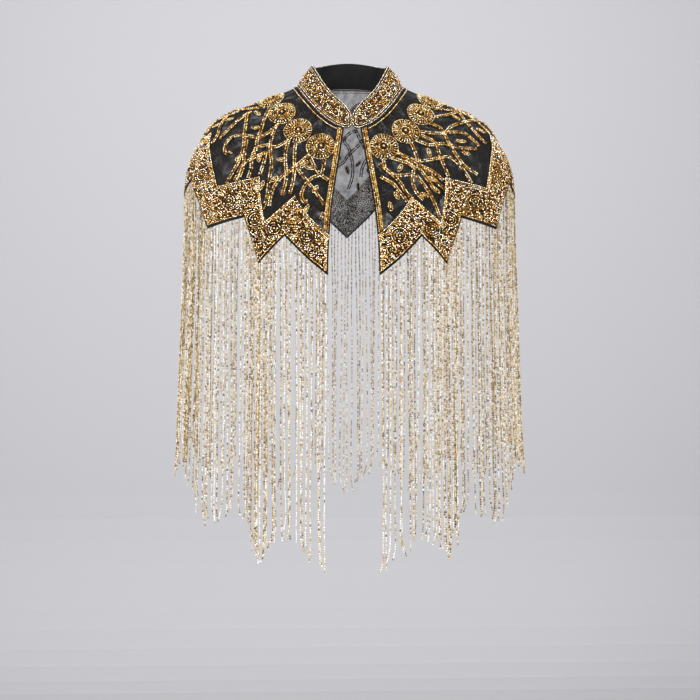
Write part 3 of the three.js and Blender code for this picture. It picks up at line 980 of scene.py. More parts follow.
for side, side_name in SIDES:
    for number, angle in enumerate(side * round_angles, 1):
        work = Beadwork()
        pad_points, pad_faces, flat = round_pad(angle)
        middle = round_point(angle, 0, np.zeros(1), 3.0)
        out = directions(net_point, np.array([angle]), np.array([ROUND_LEVEL]))[2]
        for radius, count, width, length, height, tone, is_radial in ROUND_RINGS:
            turn = (np.arange(count) + rng.uniform(-0.12, 0.12, count)) * 2 * math.pi / count
            centres = round_point(angle, radius, turn, height)
            outer = round_point(angle, radius + 0.5, turn, height)
            radial = unit(outer - centres)
            outs = np.broadcast_to(out, centres.shape)
            axes = radial if is_radial else unit(np.cross(outs, radial))
            size = np.stack([
                width * rng.uniform(0.9, 1.1, count),
                np.full(count, 1.4),
                length * rng.uniform(0.9, 1.1, count),
            ], -1)
            sew_beads(work, (centres, tipped(axes, outs, 0.08), outs), size, 0.2, tone, 0.4)
        work.sew(BALL, middle, UPWARDS, out, (3.0, 3.0, 3.0), 0.72)
        name = f"beaded_round_{side_name}_{number}"
        work.finish(f"round_beads_{side_name}_{number}", gold_glass, "gold_beads", [name])
        pad = mesh_object(f"round_pad_{side_name}_{number}", pad_points, pad_faces, tulle_padding)
        uv = flat[pad_faces.ravel()].astype(np.float32)
        pad.data.uv_layers.new(name="cloth_mm").uv.foreach_set("vector", uv.ravel())
        shade_cloth(pad)
        place_piece(pad, [name])

# ---- vines and leaves on the net -----------------------------------------------------------

# Places are (steps, share): steps counts the spacing of the rounds from the first one. Each design
# runs from the front edge to the shoulder, and on the back it runs the other way round. Each side
# has a design of its own.
RIGHT_VINES = [
    [(0.4, 0.22), (0.0, 0.31), (-0.26, 0.35), (-0.5, 0.38)],
    [(-0.22, 0.22), (-0.29, 0.34), (-0.12, 0.39), (-0.03, 0.45), (-0.02, 0.51), (-0.1, 0.55), (-0.2, 0.54)],
    [(0.5, 0.35), (0.14, 0.4), (-0.16, 0.44), (-0.38, 0.5), (-0.5, 0.57), (-0.5, 0.66)],
    [(0.9, 0.22), (0.52, 0.34), (0.36, 0.4), (0.27, 0.46), (0.22, 0.53)],
    [(0.16, 0.22), (0.36, 0.34), (0.46, 0.41), (0.56, 0.48), (0.6, 0.56), (0.54, 0.65)],
    [(1.16, 0.22), (0.82, 0.34), (0.6, 0.4), (0.44, 0.47), (0.38, 0.56)],
    [(1.84, 0.22), (1.42, 0.34), (1.21, 0.39), (1.02, 0.43), (0.85, 0.475), (0.73, 0.53), (0.65, 0.62),
     (0.68, 0.75)],
    [(0.94, 0.22), (1.16, 0.34), (1.4, 0.375), (1.52, 0.43), (1.42, 0.49), (1.26, 0.54), (1.18, 0.62)],
    [(1.68, 0.24), (1.72, 0.365), (1.92, 0.41), (2.16, 0.455), (2.22, 0.51), (2.15, 0.565), (2.02, 0.585),
     (1.9, 0.55)],
    [(2.74, 0.335), (2.32, 0.4), (2.04, 0.445), (1.8, 0.495), (1.62, 0.55), (1.58, 0.61), (1.62, 0.7)],
    [(2.74, 0.32), (2.58, 0.415), (2.5, 0.485), (2.46, 0.56)],
    [(3.14, 0.43), (2.9, 0.5), (2.62, 0.555), (2.56, 0.62)],
    [(1.3, 0.42), (1.44, 0.5), (1.5, 0.56), (1.47, 0.62), (1.44, 0.7)],
    [(1.9, 0.44), (1.64, 0.5), (1.44, 0.57), (1.36, 0.67)],
    [(2.5, 0.22), (1.97, 0.33), (1.74, 0.385), (1.54, 0.44), (1.42, 0.5)],
    [(1.28, 0.4), (1.1, 0.47), (1.0, 0.55), (0.98, 0.62)],
    [(3.3, 0.22), (3.04, 0.34), (3.1, 0.43), (3.28, 0.51), (3.36, 0.6), (3.3, 0.72)],
    [(2.6, 0.22), (3.0, 0.34), (3.26, 0.38), (3.42, 0.45), (3.34, 0.52), (3.18, 0.6), (3.12, 0.72)],
]
LEFT_VINES = [
    [(2.58, 0.23), (2.84, 0.3), (2.94, 0.36), (2.72, 0.415), (2.54, 0.48), (2.48, 0.555), (2.52, 0.6)],
    [(2.1, 0.25), (2.64, 0.325), (2.94, 0.35), (3.2, 0.37), (3.4, 0.43)],
    [(1.86, 0.24), (1.94, 0.32), (1.82, 0.38), (1.66, 0.435), (1.6, 0.51), (1.64, 0.575), (1.74, 0.66)],
    [(1.88, 0.36), (2.22, 0.375), (2.58, 0.405), (2.92, 0.455), (3.2, 0.52), (3.28, 0.66)],
    [(1.38, 0.24), (1.76, 0.335), (2.02, 0.38), (2.22, 0.44), (2.28, 0.49), (2.26, 0.57)],
    [(1.28, 0.24), (1.44, 0.35), (1.32, 0.41), (1.2, 0.465), (1.12, 0.515), (1.06, 0.58)],
    [(1.06, 0.26), (1.26, 0.34), (1.52, 0.38), (1.68, 0.42), (1.84, 0.475), (2.12, 0.565)],
    [(0.9, 0.24), (0.76, 0.34), (0.64, 0.395), (0.6, 0.46), (0.64, 0.56)],
    [(0.74, 0.37), (1.02, 0.41), (1.26, 0.445), (1.44, 0.47), (1.5, 0.52), (1.5, 0.59), (1.5, 0.68)],
    [(0.3, 0.25), (0.56, 0.335), (0.7, 0.395), (0.82, 0.455), (0.96, 0.54)],
    [(0.34, 0.24), (0.48, 0.345), (0.42, 0.4), (0.29, 0.45), (0.26, 0.51), (0.32, 0.58)],
    [(-0.02, 0.25), (0.24, 0.3), (0.4, 0.335), (0.54, 0.4)],
    [(-0.16, 0.24), (-0.18, 0.32), (-0.04, 0.37), (0.16, 0.395), (0.38, 0.42)],
    [(-0.3, 0.27), (-0.1, 0.37), (0.02, 0.435), (0.06, 0.5), (0.14, 0.57)],
    [(-0.4, 0.36), (-0.18, 0.42), (-0.08, 0.475), (-0.02, 0.56)],
    [(0.46, 0.43), (0.46, 0.51), (0.5, 0.6), (0.56, 0.72)],
    [(0.74, 0.41), (0.74, 0.485), (0.78, 0.54), (0.9, 0.6)],
    [(3.3, 0.24), (3.12, 0.33), (3.02, 0.42), (2.96, 0.53), (2.98, 0.68)],
]
# Leaves: steps, share, heading in degrees on the cloth, where 0 is towards the shoulder.
RIGHT_LEAVES = [
    (0.04, 0.335, 10),
    (0.22, 0.335, 75),
    (-0.26, 0.46, 60),
    (0.86, 0.38, 20),
    (2.1, 0.36, 50),
    (1.3, 0.455, 130),
    (0.66, 0.505, 75),
    (0.86, 0.57, 110),
    (-0.22, 0.6, 75),
    (1.66, 0.54, 80),
    (2.86, 0.44, 70),
    (3.0, 0.53, 60),
    (2.5, 0.305, 30),
]
LEFT_LEAVES = [
    (2.6, 0.36, 120),
    (0.2, 0.35, 135),
    (1.16, 0.375, 130),
    (1.96, 0.46, 60),
    (1.78, 0.53, 65),
    (-0.2, 0.5, 80),
    (0.72, 0.49, 75),
    (0.66, 0.56, 70),
    (2.66, 0.53, 60),
    (-0.34, 0.57, 105),
    (0.34, 0.56, 60),
    (3.14, 0.44, 40),
]
# Vines and leaves near centre back. Their steps are counted from there to the wearer's left.
BACK_VINES = [
    [(-0.5, 0.42), (-0.16, 0.355), (0.02, 0.31), (0.14, 0.295), (0.3, 0.285)],
    [(-0.1, 0.33), (-0.07, 0.365), (0.02, 0.395), (0.08, 0.45), (0.12, 0.52), (0.1, 0.6), (0.02, 0.68)],
    [(0.42, 0.345), (0.32, 0.375), (0.18, 0.41), (0.02, 0.45), (-0.1, 0.5), (-0.3, 0.545), (-0.5, 0.6)],
    [(0.8, 0.37), (0.58, 0.44), (0.42, 0.49), (0.32, 0.54), (0.28, 0.6)],
    [(0.22, 0.27), (0.36, 0.355), (0.46, 0.42), (0.58, 0.51), (0.62, 0.62)],
    [(-0.3, 0.33), (-0.5, 0.4), (-0.6, 0.48), (-0.5, 0.57), (-0.36, 0.64)],
]
BACK_LEAVES = [
    (0.24, 0.51, 45),
    (0.0, 0.55, 107),
    (0.46, 0.56, 130),
    (0.22, 0.66, 90),
    (-0.2, 0.46, 115),
    (-0.3, 0.62, 60),
]
# Vines and leaves that start nearer than this to the first round are left out on the back.
BACK_REACH = 0.1
STEP_ANGLES, STEP_LENGTHS = arc_table(ROUND_LEVEL, 0, 180)
FIRST_LENGTH = np.interp(FIRST_ROUND_ANGLE, STEP_ANGLES, STEP_LENGTHS)


def angle_of_step(step):
    return np.interp(FIRST_LENGTH + np.asarray(step) * ROUND_SPACING, STEP_LENGTHS, STEP_ANGLES)


def angle_from_back(step):
    step = np.asarray(step, float)
    return 180 - np.sign(step) * (180 - angle_of_step(7.5 - np.abs(step)))


# What the vines keep clear of: the braid in mm, the border in share and the rounds in mm.
BRAID_WIDTH = 9.6
BORDER_CLEARANCE = 0.006
ROUND_CLEARANCE = 1.0


def is_open_net(angle, share, centres):
    """Where the net has room for a vine: clear of the rounds, the border and the front braid."""
    open_net = share < border_share(tooth_of_angle(wrapped(angle))) - BORDER_CLEARANCE
    turn = np.abs(wrapped(angle))
    from_edge = np.radians(turn - FRONT_EDGE_ANGLE) * ring_at(share)[:, 1]
    open_net &= from_edge > BRAID_WIDTH
    for side in (1, -1):
        for place in side * round_angles:
            middle = net_point(place, ROUND_LEVEL)
            open_net &= np.linalg.norm(centres - middle, axis=1) > ROUND_RADIUS + ROUND_CLEARANCE
    return open_net


def panel_of_places(places):
    """Name of the panel of each place, from where it lies round the cape."""
    angle = np.degrees(np.arctan2(places[:, 0], -places[:, 1]))
    tooth = tooth_of_angle(angle)
    return np.where(tooth > 3, "back", np.where(angle < 0, "front_right", "front_left"))


vine_work = {panel: Beadwork() for panel in PANELS}
stitch_work = {panel: Beadwork() for panel in PANELS}
# Width, thickness and length of a vine's beads and stitches, the pitch of each, and their height.
VINE_BEAD = (1.9, 1.5, 2.5)
VINE_PITCH = 2.7
VINE_HEIGHT = 1.1
LEAF_WIDTH = 4.6
STITCH = (1.5, 0.3, 7.4)
STITCH_PITCH = 8.0
STITCH_HEIGHT = -0.7


def vine_row(angles, shares, pitch, aside, height):
    """Places of one row of a vine, and the panel of each. It is empty where there is no open net."""
    run = run_of(net_point(angles, shares))
    places = net_row(angles, shares, pitch, aside, height)
    count = len(places[0])
    at = (np.arange(count) + 0.5) / count * run[-1]
    keep = is_open_net(np.interp(at, run, angles), np.interp(at, run, shares), places[0])
    return places, np.where(keep, panel_of_places(places[0]), "")


def sew_vine(angles, shares):
    """Two rows of beads side by side, and the back stitches that hold them on the net's inside."""
    middle = rng.uniform(0.52, 0.66)
    for aside in (-1.4, 1.4):
        places, panels = vine_row(angles, shares, VINE_PITCH, aside, VINE_HEIGHT)
        tones = tones_of(len(panels), 0.32, middle)
        twist = rng.uniform(-0.4, 0.4, len(panels))
        stitches, stitch_panels = vine_row(angles, shares, STITCH_PITCH, aside, STITCH_HEIGHT)
        for panel in PANELS:
            here = panels == panel
            bead_places = [part[here] for part in places]
            vine_work[panel].sew(CUT_BEAD, *bead_places, VINE_BEAD, tones[here], twist[here])
            under = [part[stitch_panels == panel] for part in stitches]
            stitch_work[panel].sew(CUT_BEAD, *under, STITCH, 0.5)


def sew_leaf(angle, share, heading):
    """A loop of small beads, pointed at both ends, with one long bead down its middle."""
    length = rng.uniform(10.5, 13.5)
    turn = np.linspace(0, 2 * math.pi, 33)
    ahead = length / 2 * np.cos(turn)
    across = LEAF_WIDTH / 2 * np.sin(turn) * np.abs(np.sin(turn)) ** 0.25
    right = ahead * math.cos(heading) - across * math.sin(heading)
    below = ahead * math.sin(heading) + across * math.cos(heading)
    angle = np.full(turn.shape, float(angle))
    share = np.full(turn.shape, float(share))
    line = net_point_near(angle, share, right, below, 1.0)
    if not is_open_net(angle, share, line).all():
        return
    places = spaced(line, directions(net_point, angle, share)[2], 2.1)
    heading = np.array([heading])
    middle, axis, out = lying(net_point, angle[:1], share[:1], VINE_HEIGHT, heading)
    panel = str(panel_of_places(middle)[0])
    sew_beads(vine_work[panel], places, (1.35, 1.3, 2.1), 0.2, 0.66, 0.4)
    vine_work[panel].sew(CUT_BEAD, middle, axis, out, (1.5, 1.3, length * 0.5), 0.8)
    inside = middle + (STITCH_HEIGHT - VINE_HEIGHT) * out
    stitch_work[panel].sew(CUT_BEAD, inside, axis, out, (2.6, 0.3, length * 0.9), 0.5)


def placed_steps(steps, is_back):
    """Steps of the design, or of its other way round, which runs from centre back."""
    return 7 - np.asarray(steps) if is_back else np.asarray(steps)


VINE_SAMPLES = 110
for side, vines, leaves in ((1, LEFT_VINES, LEFT_LEAVES), (-1, RIGHT_VINES, RIGHT_LEAVES)):
    for is_back in (False, True):
        for vine in vines:
            if is_back and min(step for step, share in vine) < BACK_REACH:
                continue
            control = np.array(vine)
            control[:, 0] = placed_steps(control[:, 0], is_back) + 0.015 * rng.standard_normal(len(control))
            control[:, 1] += 0.003 * rng.standard_normal(len(control))
            path = spline(control, VINE_SAMPLES)
            sew_vine(side * angle_of_step(path[:, 0]), path[:, 1])
        for step, share, heading in leaves:
            if is_back and step < BACK_REACH:
                continue
            place = side * angle_of_step(placed_steps(step, is_back) + 0.03 * rng.standard_normal())
            is_turned = (side < 0) != is_back
            turned = math.radians(180 - heading if is_turned else heading) + 0.2 * rng.standard_normal()
            sew_leaf(place, share + 0.006 * rng.standard_normal(), turned)

for vine in BACK_VINES:
    path = spline(vine, VINE_SAMPLES)
    sew_vine(angle_from_back(path[:, 0]), path[:, 1])
for step, share, heading in BACK_LEAVES:
    sew_leaf(angle_from_back(step), share, math.radians(heading))

for panel in PANELS:
    vine_work[panel].finish(f"vines_{panel}", gold_glass, "gold_beads")
    stitch_work[panel].finish(f"vine_stitches_{panel}", thread, "net")

# ---- front braids and neck line -------------------------------------------------------------------


BRAID_RING_WIDTH = 180
# Each row of beads on a braid: mm from the front edge, bead width and middle tone.
BRAID_ROWS = [(6.9, 1.9, 0.64), (4.9, 1.9, 0.56), (2.4, 1.3, 0.6)]


def braid_end(inwards):
    """Share at which a line along the front edge meets the border."""
    angle = FRONT_EDGE_ANGLE + math.degrees(inwards / BRAID_RING_WIDTH)
    return float(border_share(tooth_of_angle(angle))) - 0.004


for side, side_name in SIDES:
    work = Beadwork()
    for inwards, width, tone in BRAID_ROWS:
        shares = np.linspace(0.012, braid_end(inwards), 80)
        angles = edge_angle(side, shares, inwards)
        places = net_row(angles, shares, BEAD_PITCH, 0, 1.5)
        sew_beads(work, places, (width, 1.4, 2.6), 0.2, tone)
    work.finish(f"braid_beads_{side_name}", gold_glass, "gold_beads", [f"front_braid_{side_name}"])

    grids = []
    for height in (0.9, 0.4):
        columns = []
        for inward in np.linspace(0.0, 8.0, 9)[::side]:
            share = np.linspace(0.004, braid_end(inward), 41)
            angle = edge_angle(side, share, inward)
            columns.append(lifted(net_point, angle, share, height))
        grids.append(np.stack(columns))
    cloth_shell(f"braid_ground_{side_name}", *grids, tape, replaced=[f"front_braid_{side_name}"])

# ---- collar ---------------------------------------------------------------------------------------

COLLAR_HEIGHT = 37
COLLAR_LIFT = 0.4
# The rounded end: its height, and the radius of its lower corner.
COLLAR_END_HEIGHT = 14
COLLAR_LOW_BEND = 9
END_GAP = 0.4
END_BEND = 26


def collar_point(angle, drop):
    seam = point_on_ring(np.broadcast_to(RINGS[0], np.shape(angle) + (9,)), angle)
    top = point_on_ring(np.broadcast_to(COLLAR_TOP, np.shape(angle) + (9,)), angle)
    return seam + (top - seam) * (1 - np.asarray(drop))[..., None]


def quarter_round(distance, radius):
    inside = np.maximum(0, 1 - distance / radius)
    return np.sqrt(1 - inside**2)


def collar_edges(distance):
    """Lower and upper edge at a distance round the neck from centre front, in mm up."""
    low = COLLAR_LIFT + 10 * (1 - quarter_round(distance, COLLAR_LOW_BEND))
    high = COLLAR_END_HEIGHT + (COLLAR_HEIGHT - COLLAR_END_HEIGHT) * quarter_round(distance, END_BEND)
    return low, high


def collar_place(side, distance, rise, height):
    """A place on the collar: side, distance round the neck from centre front and mm up."""
    angle = side * np.interp(distance, NECK_LENGTHS, NECK_ANGLES)
    return lifted(collar_point, angle, 1 - rise / COLLAR_HEIGHT, height)


HALF_NECK = NECK_LENGTHS[-1]
near_end = END_GAP + END_BEND * np.linspace(0, 1, 22) ** 1.8
half_columns = np.concatenate([near_end, np.linspace(END_GAP + END_BEND, HALF_NECK, 60)[1:]])
collar_rows = np.linspace(0, 1, 13)
halves = {}
for side in (1, -1):
    distance = half_columns[::side]
    low, high = collar_edges(distance)
    rise = high[:, None] + (low - high)[:, None] * collar_rows
    around = np.broadcast_to(distance[:, None], rise.shape)
    halves[side] = [collar_place(side, around, rise, height) for height in (-0.2, -1.8)]
outer, inner = [np.concatenate([left, right[1:]]) for left, right in zip(halves[1], halves[-1])]
cloth_shell("collar_cloth", outer, inner, collar_sateen, "sequins", ["collar"])

# The collar's outline from centre back along the lower edge, round the free end and back on top.
near_end = END_GAP + END_BEND * np.linspace(0, 1, 60) ** 1.8
ends = np.concatenate([near_end, np.linspace(END_GAP + END_BEND + 0.2, HALF_NECK, 120)])
low, high = collar_edges(ends)
outline = np.concatenate([
    np.stack([ends, low], -1)[::-1],
    np.stack([np.full(4, END_GAP), np.linspace(low[0], high[0], 6)[1:-1]], -1),
    np.stack([ends, high], -1),
])


def inset_outline(amount):
    """The outline moved inwards, without the points that come too near to another stretch."""
    along = unit(np.gradient(outline, axis=0))
    inwards = np.stack([along[:, 1], -along[:, 0]], -1)
    moved = outline + inwards * amount
    gap = np.linalg.norm(moved[:, None] - outline[None], axis=2).min(1)
    return moved[gap > amount - 0.15]


# Rows along the collar's outline: distance from it, bead width and middle tone.
COLLAR_ROWS = [(0.8, 1.2, 0.82), (4.2, 1.3, 0.78), (6.6, 1.2, 0.6)]
# Small flowers along each half: distance round the neck and mm up.
FLOWERS = [(26, 16.5), (78, 18.5), (130, 18.5), (182, 18.5)]
FLOWER_RADIUS = 5.0
FLOWER_ROOM = 6.4
ROWS_WIDTH = 8.4
FLOWER_BEADS = 12
COLLAR_PITCH = 2.1
COLLAR_FILL = {
    "lift": 0.0,
    "rise": (0.4, 1.0),
    "width": (1.3, 1.8),
    "thickness": (1.0, 1.5),
    "length": (1.6, 2.2),
    "long_length": (2.6, 3.4),
    "long_part": 0.2,
    "lean": 0.16,
    "tone": 0.46,
}


def collar_line(side, distance, rise, height):
    """A line on the collar and the directions out of it."""
    angle = side * np.interp(distance, NECK_LENGTHS, NECK_ANGLES)
    drop = 1 - rise / COLLAR_HEIGHT
    out = directions(collar_point, angle, drop)[2]
    return collar_point(angle, drop) + out * height, out


collar_work = Beadwork()
for side in (1, -1):
    for amount, width, tone in COLLAR_ROWS:
        line = inset_outline(amount)
        places = spaced(*collar_line(side, line[:, 0], line[:, 1], 0.45), 2.4)
        sew_beads(collar_work, places, (width, 1.3, 2.4), 0.18, tone)

    grids = np.meshgrid(
        np.arange(2, HALF_NECK, COLLAR_PITCH * 1.15), np.arange(2, COLLAR_HEIGHT, COLLAR_PITCH), indexing="ij"
    )
    distance, rise = [grid.ravel() + rng.uniform(-0.8, 0.8, grid.size) for grid in grids]
    flat = np.stack([distance, rise], -1)
    low, high = collar_edges(distance)
    inside = (rise > low) & (rise < high) & (distance < HALF_NECK)
    gap = np.linalg.norm(flat[:, None] - outline[None], axis=2).min(1)
    inside &= gap > ROWS_WIDTH
    for flower in FLOWERS:
        inside &= np.linalg.norm(flat - flower, axis=1) > FLOWER_ROOM
    angle = side * np.interp(distance[inside], NECK_LENGTHS, NECK_ANGLES)
    scatter(collar_work, collar_point, angle, 1 - rise[inside] / COLLAR_HEIGHT, COLLAR_FILL)
    for at, up in FLOWERS:
        middle, out = collar_line(side, np.array([float(at)]), np.array([float(up)]), 1.2)
        collar_work.sew(BALL, middle, UPWARDS, out, (3.2, 3.2, 3.2), 0.5)
        turn = np.linspace(0, 2 * math.pi, 49)
        around = at + FLOWER_RADIUS * np.cos(turn) / 0.86
        line, out = collar_line(side, around, up + FLOWER_RADIUS * np.sin(turn), 0.8)
        places = spaced(line, out, 2 * math.pi * FLOWER_RADIUS / FLOWER_BEADS)
        number = len(places[0])
        collar_work.sew(CUT_BEAD, *places, (1.7, 1.4, 2.3), tones_of(number, 0.2, 0.72), 0.0)
collar_work.finish("collar_beads", sequin_gold, "sequins", ["collar"])

# The black cord over the neck seam, and the one gold line on the yoke just below it.
seam_angles = np.linspace(FRONT_EDGE_ANGLE, 360 - FRONT_EDGE_ANGLE, 241)


def tube(name, line, outs, radius, material, sides=8):
    """A closed tube round a line of points."""
    axis = unit(np.gradient(line, axis=0))
    outs = unit(outs - axis * np.sum(outs * axis, -1, keepdims=True))
    side = np.cross(axis, outs)
    turn = np.linspace(0, 2 * math.pi, sides, endpoint=False)
    ring = outs[:, None] * np.cos(turn)[None, :, None] + side[:, None] * np.sin(turn)[None, :, None]
    points = (line[:, None] + ring * radius).reshape(-1, 3)
    at = np.arange(len(line) * sides).reshape(len(line), sides)
    over = np.roll(at, -1, axis=1)
    quads = np.stack([at[:-1], over[:-1], over[1:], at[1:]], -1).reshape(-1, 4)
    half = sides // 2
    for ring_points, flip in ((at[0], True), (at[-1], False)):
        for k in range(half - 1):
            cap = [ring_points[k], ring_points[k + 1], ring_points[sides - 2 - k], ring_points[sides - 1 - k]]
            quads = np.concatenate([quads, [cap[::-1] if flip else cap]])
    item = mesh_object(name, points, quads, material)
    shade_cloth(item)
    return item


share = np.full(seam_angles.shape, 0.008)
seam_out = directions(net_point, seam_angles, share)[2]
cord = tube("neck_seam_cord", net_point(seam_angles, share) + seam_out * 0.9, seam_out, 0.85, tape)
place_piece(cord)
neck_work = Beadwork()
places = net_row(seam_angles, np.full(seam_angles.shape, 0.024), 2.4, 0, 1.0)
clear = np.abs(wrapped(np.degrees(np.arctan2(places[0][:, 0], -places[0][:, 1])))) > FRONT_EDGE_ANGLE + 6
places = [part[clear] for part in places]
neck_work.sew(CUT_BEAD, *places, (1.6, 1.4, 2.4), tones_of(clear.sum(), 0.18, 0.68), 0.2)
neck_work.finish("neck_line_beads", gold_glass, "gold_beads")

# ---- fringe ---------------------------------------------------------------------------------------

STRANDS_PER_TOOTH = 20
STRAND_LENGTH = 368
STRAND_PITCH = 3.0
STRAND_UNEVENNESS = 9
# Share of the fringe beads given a near-black tone: painted shade for beads turned away from the light.
PAINTED_SHADE_PART = 0.02
# Where a string starts and where its length is counted from: mm below the hem's edge, and over the
# net.
STRING_TOP = (2.6, 0.6)
STRING_ROOT = (4.8, 0.4)
# How far the strings stand out at their tips in mm, in front and how much more at the sides.
LEAN = 2
SIDE_LEAN = 11
# The last part of a string that bends, from where on and how long in parts of it, and how far in mm.
TIP_FROM = 0.94
TIP_PART = 0.06
TIP_BEND = 7
# Waves of a string, along the ring and out of it: mm, and the fewest and the most waves.
SLOW_WAVE = (0.7, 0.6, 1.4)
FAST_WAVE = (0.28, 2.5, 5.0)
OUTWARD_WAVE = (0.6, 0.6, 1.6)


def chance(strand, purpose):
    value = np.sin(strand * 12.9898 + purpose * 78.233) * 43758.5453
    return value - np.floor(value)


def fringe_strings(panel, first_tooth, last_tooth, first_number):
    """Bead strings from one tooth to another, hanging from the hem."""
    work = Beadwork()
    threads = Beadwork()
    count = (last_tooth - first_tooth) * STRANDS_PER_TOOTH
    number = first_number + np.arange(count)
    tooth = first_tooth + (np.arange(count) + 0.5) / STRANDS_PER_TOOTH
    angle = angle_of_tooth(tooth)
    along = directions(net_point, angle, hem_share(tooth))[0]
    sideways = unit(along * [1, 1, 0])
    outwards = np.stack([sideways[:, 1], -sideways[:, 0], 0 * sideways[:, 0]], -1)
    top = below_hem(angle, tooth, *STRING_TOP)
    root = below_hem(angle, tooth, *STRING_ROOT)
    bottom = root[:, 2] - (STRAND_LENGTH - STRAND_UNEVENNESS * chance(number, 3)) + 7 * rng.random(count) ** 2
    length = top[:, 2] - bottom
    lean = LEAN + SIDE_LEAN * np.sin(np.radians(angle)) ** 2
    beads_each = int(STRAND_LENGTH / STRAND_PITCH) + 1
    t = (np.arange(beads_each) + 0.5) / beads_each

    def wave(amount, slow, fast):
        speed = rng.uniform(slow, fast, count)[:, None]
        phase = rng.uniform(0, 1, count)[:, None]
        return amount * np.sin(2 * math.pi * (speed * t + phase)) - amount * np.sin(2 * math.pi * phase)

    drift = (2.2 * np.sin(number * 1.7) + 2.0 * rng.standard_normal(count))[:, None] * t**0.8
    bend = rng.uniform(-1, 1, count)[:, None] * TIP_BEND * np.clip((t - TIP_FROM) / TIP_PART, 0, 1) ** 1.6
    start = smoothstep(t, 0, 0.2)
    aside = drift + bend + wave(*SLOW_WAVE) * start + wave(*FAST_WAVE)
    proud = lean[:, None] * t**1.5 + wave(*OUTWARD_WAVE) * start
    centres = (
        top[:, None]
        + sideways[:, None] * aside[..., None]
        + outwards[:, None] * proud[..., None]
        - np.array([0, 0, 1.0]) * (length[:, None] * t)[..., None]
    )
    axes = unit(np.gradient(centres, axis=1))
    outs = np.broadcast_to(outwards[:, None], centres.shape)
    total = count * beads_each
    pitch = np.repeat(length / beads_each, beads_each)
    size = np.stack([
        rng.uniform(1.6, 2.2, total),
        rng.uniform(1.6, 2.2, total),
        pitch * rng.uniform(0.84, 1.0, total),
    ], -1)
    # Tones spread by string and by bead. The highest reach the ramp's painted glints, and a few beads are set
    # near black as painted shade.
    tones = np.repeat(0.13 * rng.standard_normal(count), beads_each) + tones_of(total, 0.22, 0.46)
    tones = np.where(rng.random(total) < PAINTED_SHADE_PART, 0.1, tones)
    twist = rng.uniform(0, math.pi, total)
    work.sew(
        CUT_BEAD, centres.reshape(-1, 3), axes.reshape(-1, 3), outs.reshape(-1, 3), size, tones, twist
    )
    down = np.broadcast_to([0, 0, -1.0], top.shape)
    size = np.stack([np.full(count, 1.1), np.full(count, 1.0), rng.uniform(3.2, 6.4, count)], -1)
    threads.sew(CUT_BEAD, top - [0, 0, 0.8], down, outwards, size, 0.0)
    return work, threads


for piece, panel, first_tooth, last_tooth, first_number in (
    ("front_right", "front_right", -3, 0, 0),
    ("front_left", "front_left", 0, 3, 60),
    ("back_left", "back", 3, 6, 120),
    ("back_right", "back", 6, 9, 180),
):
    strings, threads = fringe_strings(panel, first_tooth, last_tooth, first_number)
    strings.finish(f"fringe_strings_{piece}", champagne_glass, "fringe_beads", [f"fringe_{panel}"])
    threads.finish(f"fringe_threads_{piece}", tape, "net", [f"fringe_{panel}"])

# ---- stage and light ------------------------------------------------------------------------------


# Matt pale grey paper: even and without a shine, so it stays quiet behind the cape.
def paper(name, hex_value):
    material, tree = empty_material(name)
    finish_material(tree, {"Base Color": colour(hex_value), "Roughness": 0.9, "Specular IOR Level": 0.1}, {})
    return material


SWEEP_FLOOR = -1.3
SWEEP_BEND = 0.5


def studio_sweep():
    """Floor and backdrop in one paper sweep, with a round bend between them."""
    bend = [
        (1.7 + SWEEP_BEND * math.sin(t), SWEEP_FLOOR + SWEEP_BEND * (1 - math.cos(t)))
        for t in np.linspace(0, math.pi / 2, 12)
    ]
    section = [(-4.0, SWEEP_FLOOR)] + bend + [(2.2, 2.6)]
    points = [(x, y, z) for x in (-7.0, 7.0) for y, z in section]
    count = len(section)
    faces = [(k, count + k, count + k + 1, k + 1) for k in range(count - 1)]
    mesh = bpy.data.meshes.new("studio_sweep")
    mesh.from_pydata(points, [], faces)
    mesh.materials.append(paper("paper_pale_grey", "#c1c1c4"))
    sweep = bpy.data.objects.new("studio_sweep", mesh)
    bpy.context.scene.collection.objects.link(sweep)


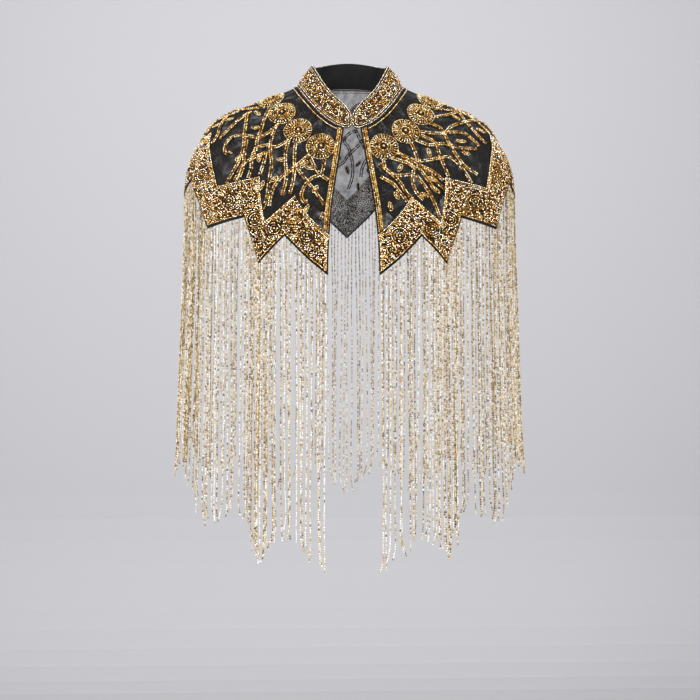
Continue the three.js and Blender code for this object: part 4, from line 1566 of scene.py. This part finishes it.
def softbox(name, place, target, width, height, power):
    light = bpy.data.lights.new(name, "AREA")
    light.shape = "RECTANGLE"
    light.size = width
    light.size_y = height
    light.energy = power
    lamp = bpy.data.objects.new(name, light)
    lamp.location = place
    lamp.rotation_euler = (Vector(target) - Vector(place)).to_track_quat("-Z", "Y").to_euler()
    bpy.context.scene.collection.objects.link(lamp)


studio_sweep()
# Softboxes: name, place, width, height and power in watts. All but the last point at the cape.
CAPE_MIDDLE = (0, 0, -0.25)
WALL_MIDDLE = (0, 2.2, -0.7)
SOFTBOXES = [
    ("front_left", (-1.6, -1.9, 0.9), 0.9, 1.2, 52),
    ("front_right", (1.7, -1.7, 0.5), 0.8, 1.2, 40),
    ("side_left", (-2.0, -0.5, 0.5), 0.5, 1.2, 18),
    ("side_right", (2.0, -0.5, 0.5), 0.5, 1.2, 8),
    ("top", (0, -0.4, 1.9), 1.4, 1.0, 26),
    ("wall", (0, 0.8, 1.3), 2.4, 0.6, 7),
]
for name, place, width, height, power in SOFTBOXES:
    target = WALL_MIDDLE if name == "wall" else CAPE_MIDDLE
    softbox(f"softbox_{name}", place, target, width, height, power)

world = bpy.data.worlds.new("studio_world")
world.use_nodes = True
background = world.node_tree.nodes["Background"]
background.inputs["Color"].default_value = (0.6, 0.6, 0.61, 1)
background.inputs["Strength"].default_value = 0.62
bpy.context.scene.world = world

# ---- pieces that lie on each panel and on its border ----------------------------------------------


def rounds_of(panel):
    """Bead and pad pieces of the rounds on a panel: three on each front, five on each half back."""
    sides = ("left", "right") if panel == "back" else (panel.split("_")[1],)
    numbers = range(4, 9) if panel == "back" else range(1, 4)
    parts = ("beads", "pad")
    return [f"round_{part}_{side}_{number}" for part in parts for side in sides for number in numbers]


for panel in PANELS:
    on_net_panel = [f"vines_{panel}", f"vine_stitches_{panel}", *rounds_of(panel)]
    on_border = [f"border_beads_{panel}", f"hem_binding_{panel}"]
    if panel == "back":
        halves = ["back_left", "back_right"]
        on_net_panel += ["neck_seam_cord", "neck_line_beads"]
    else:
        halves = [panel]
        side_name = panel.split("_")[1]
        on_net_panel += [f"braid_beads_{side_name}", f"braid_ground_{side_name}"]
        on_border.append(f"edge_binding_{side_name}")
    on_border += [f"fringe_{part}_{half}" for part in ("strings", "threads") for half in halves]
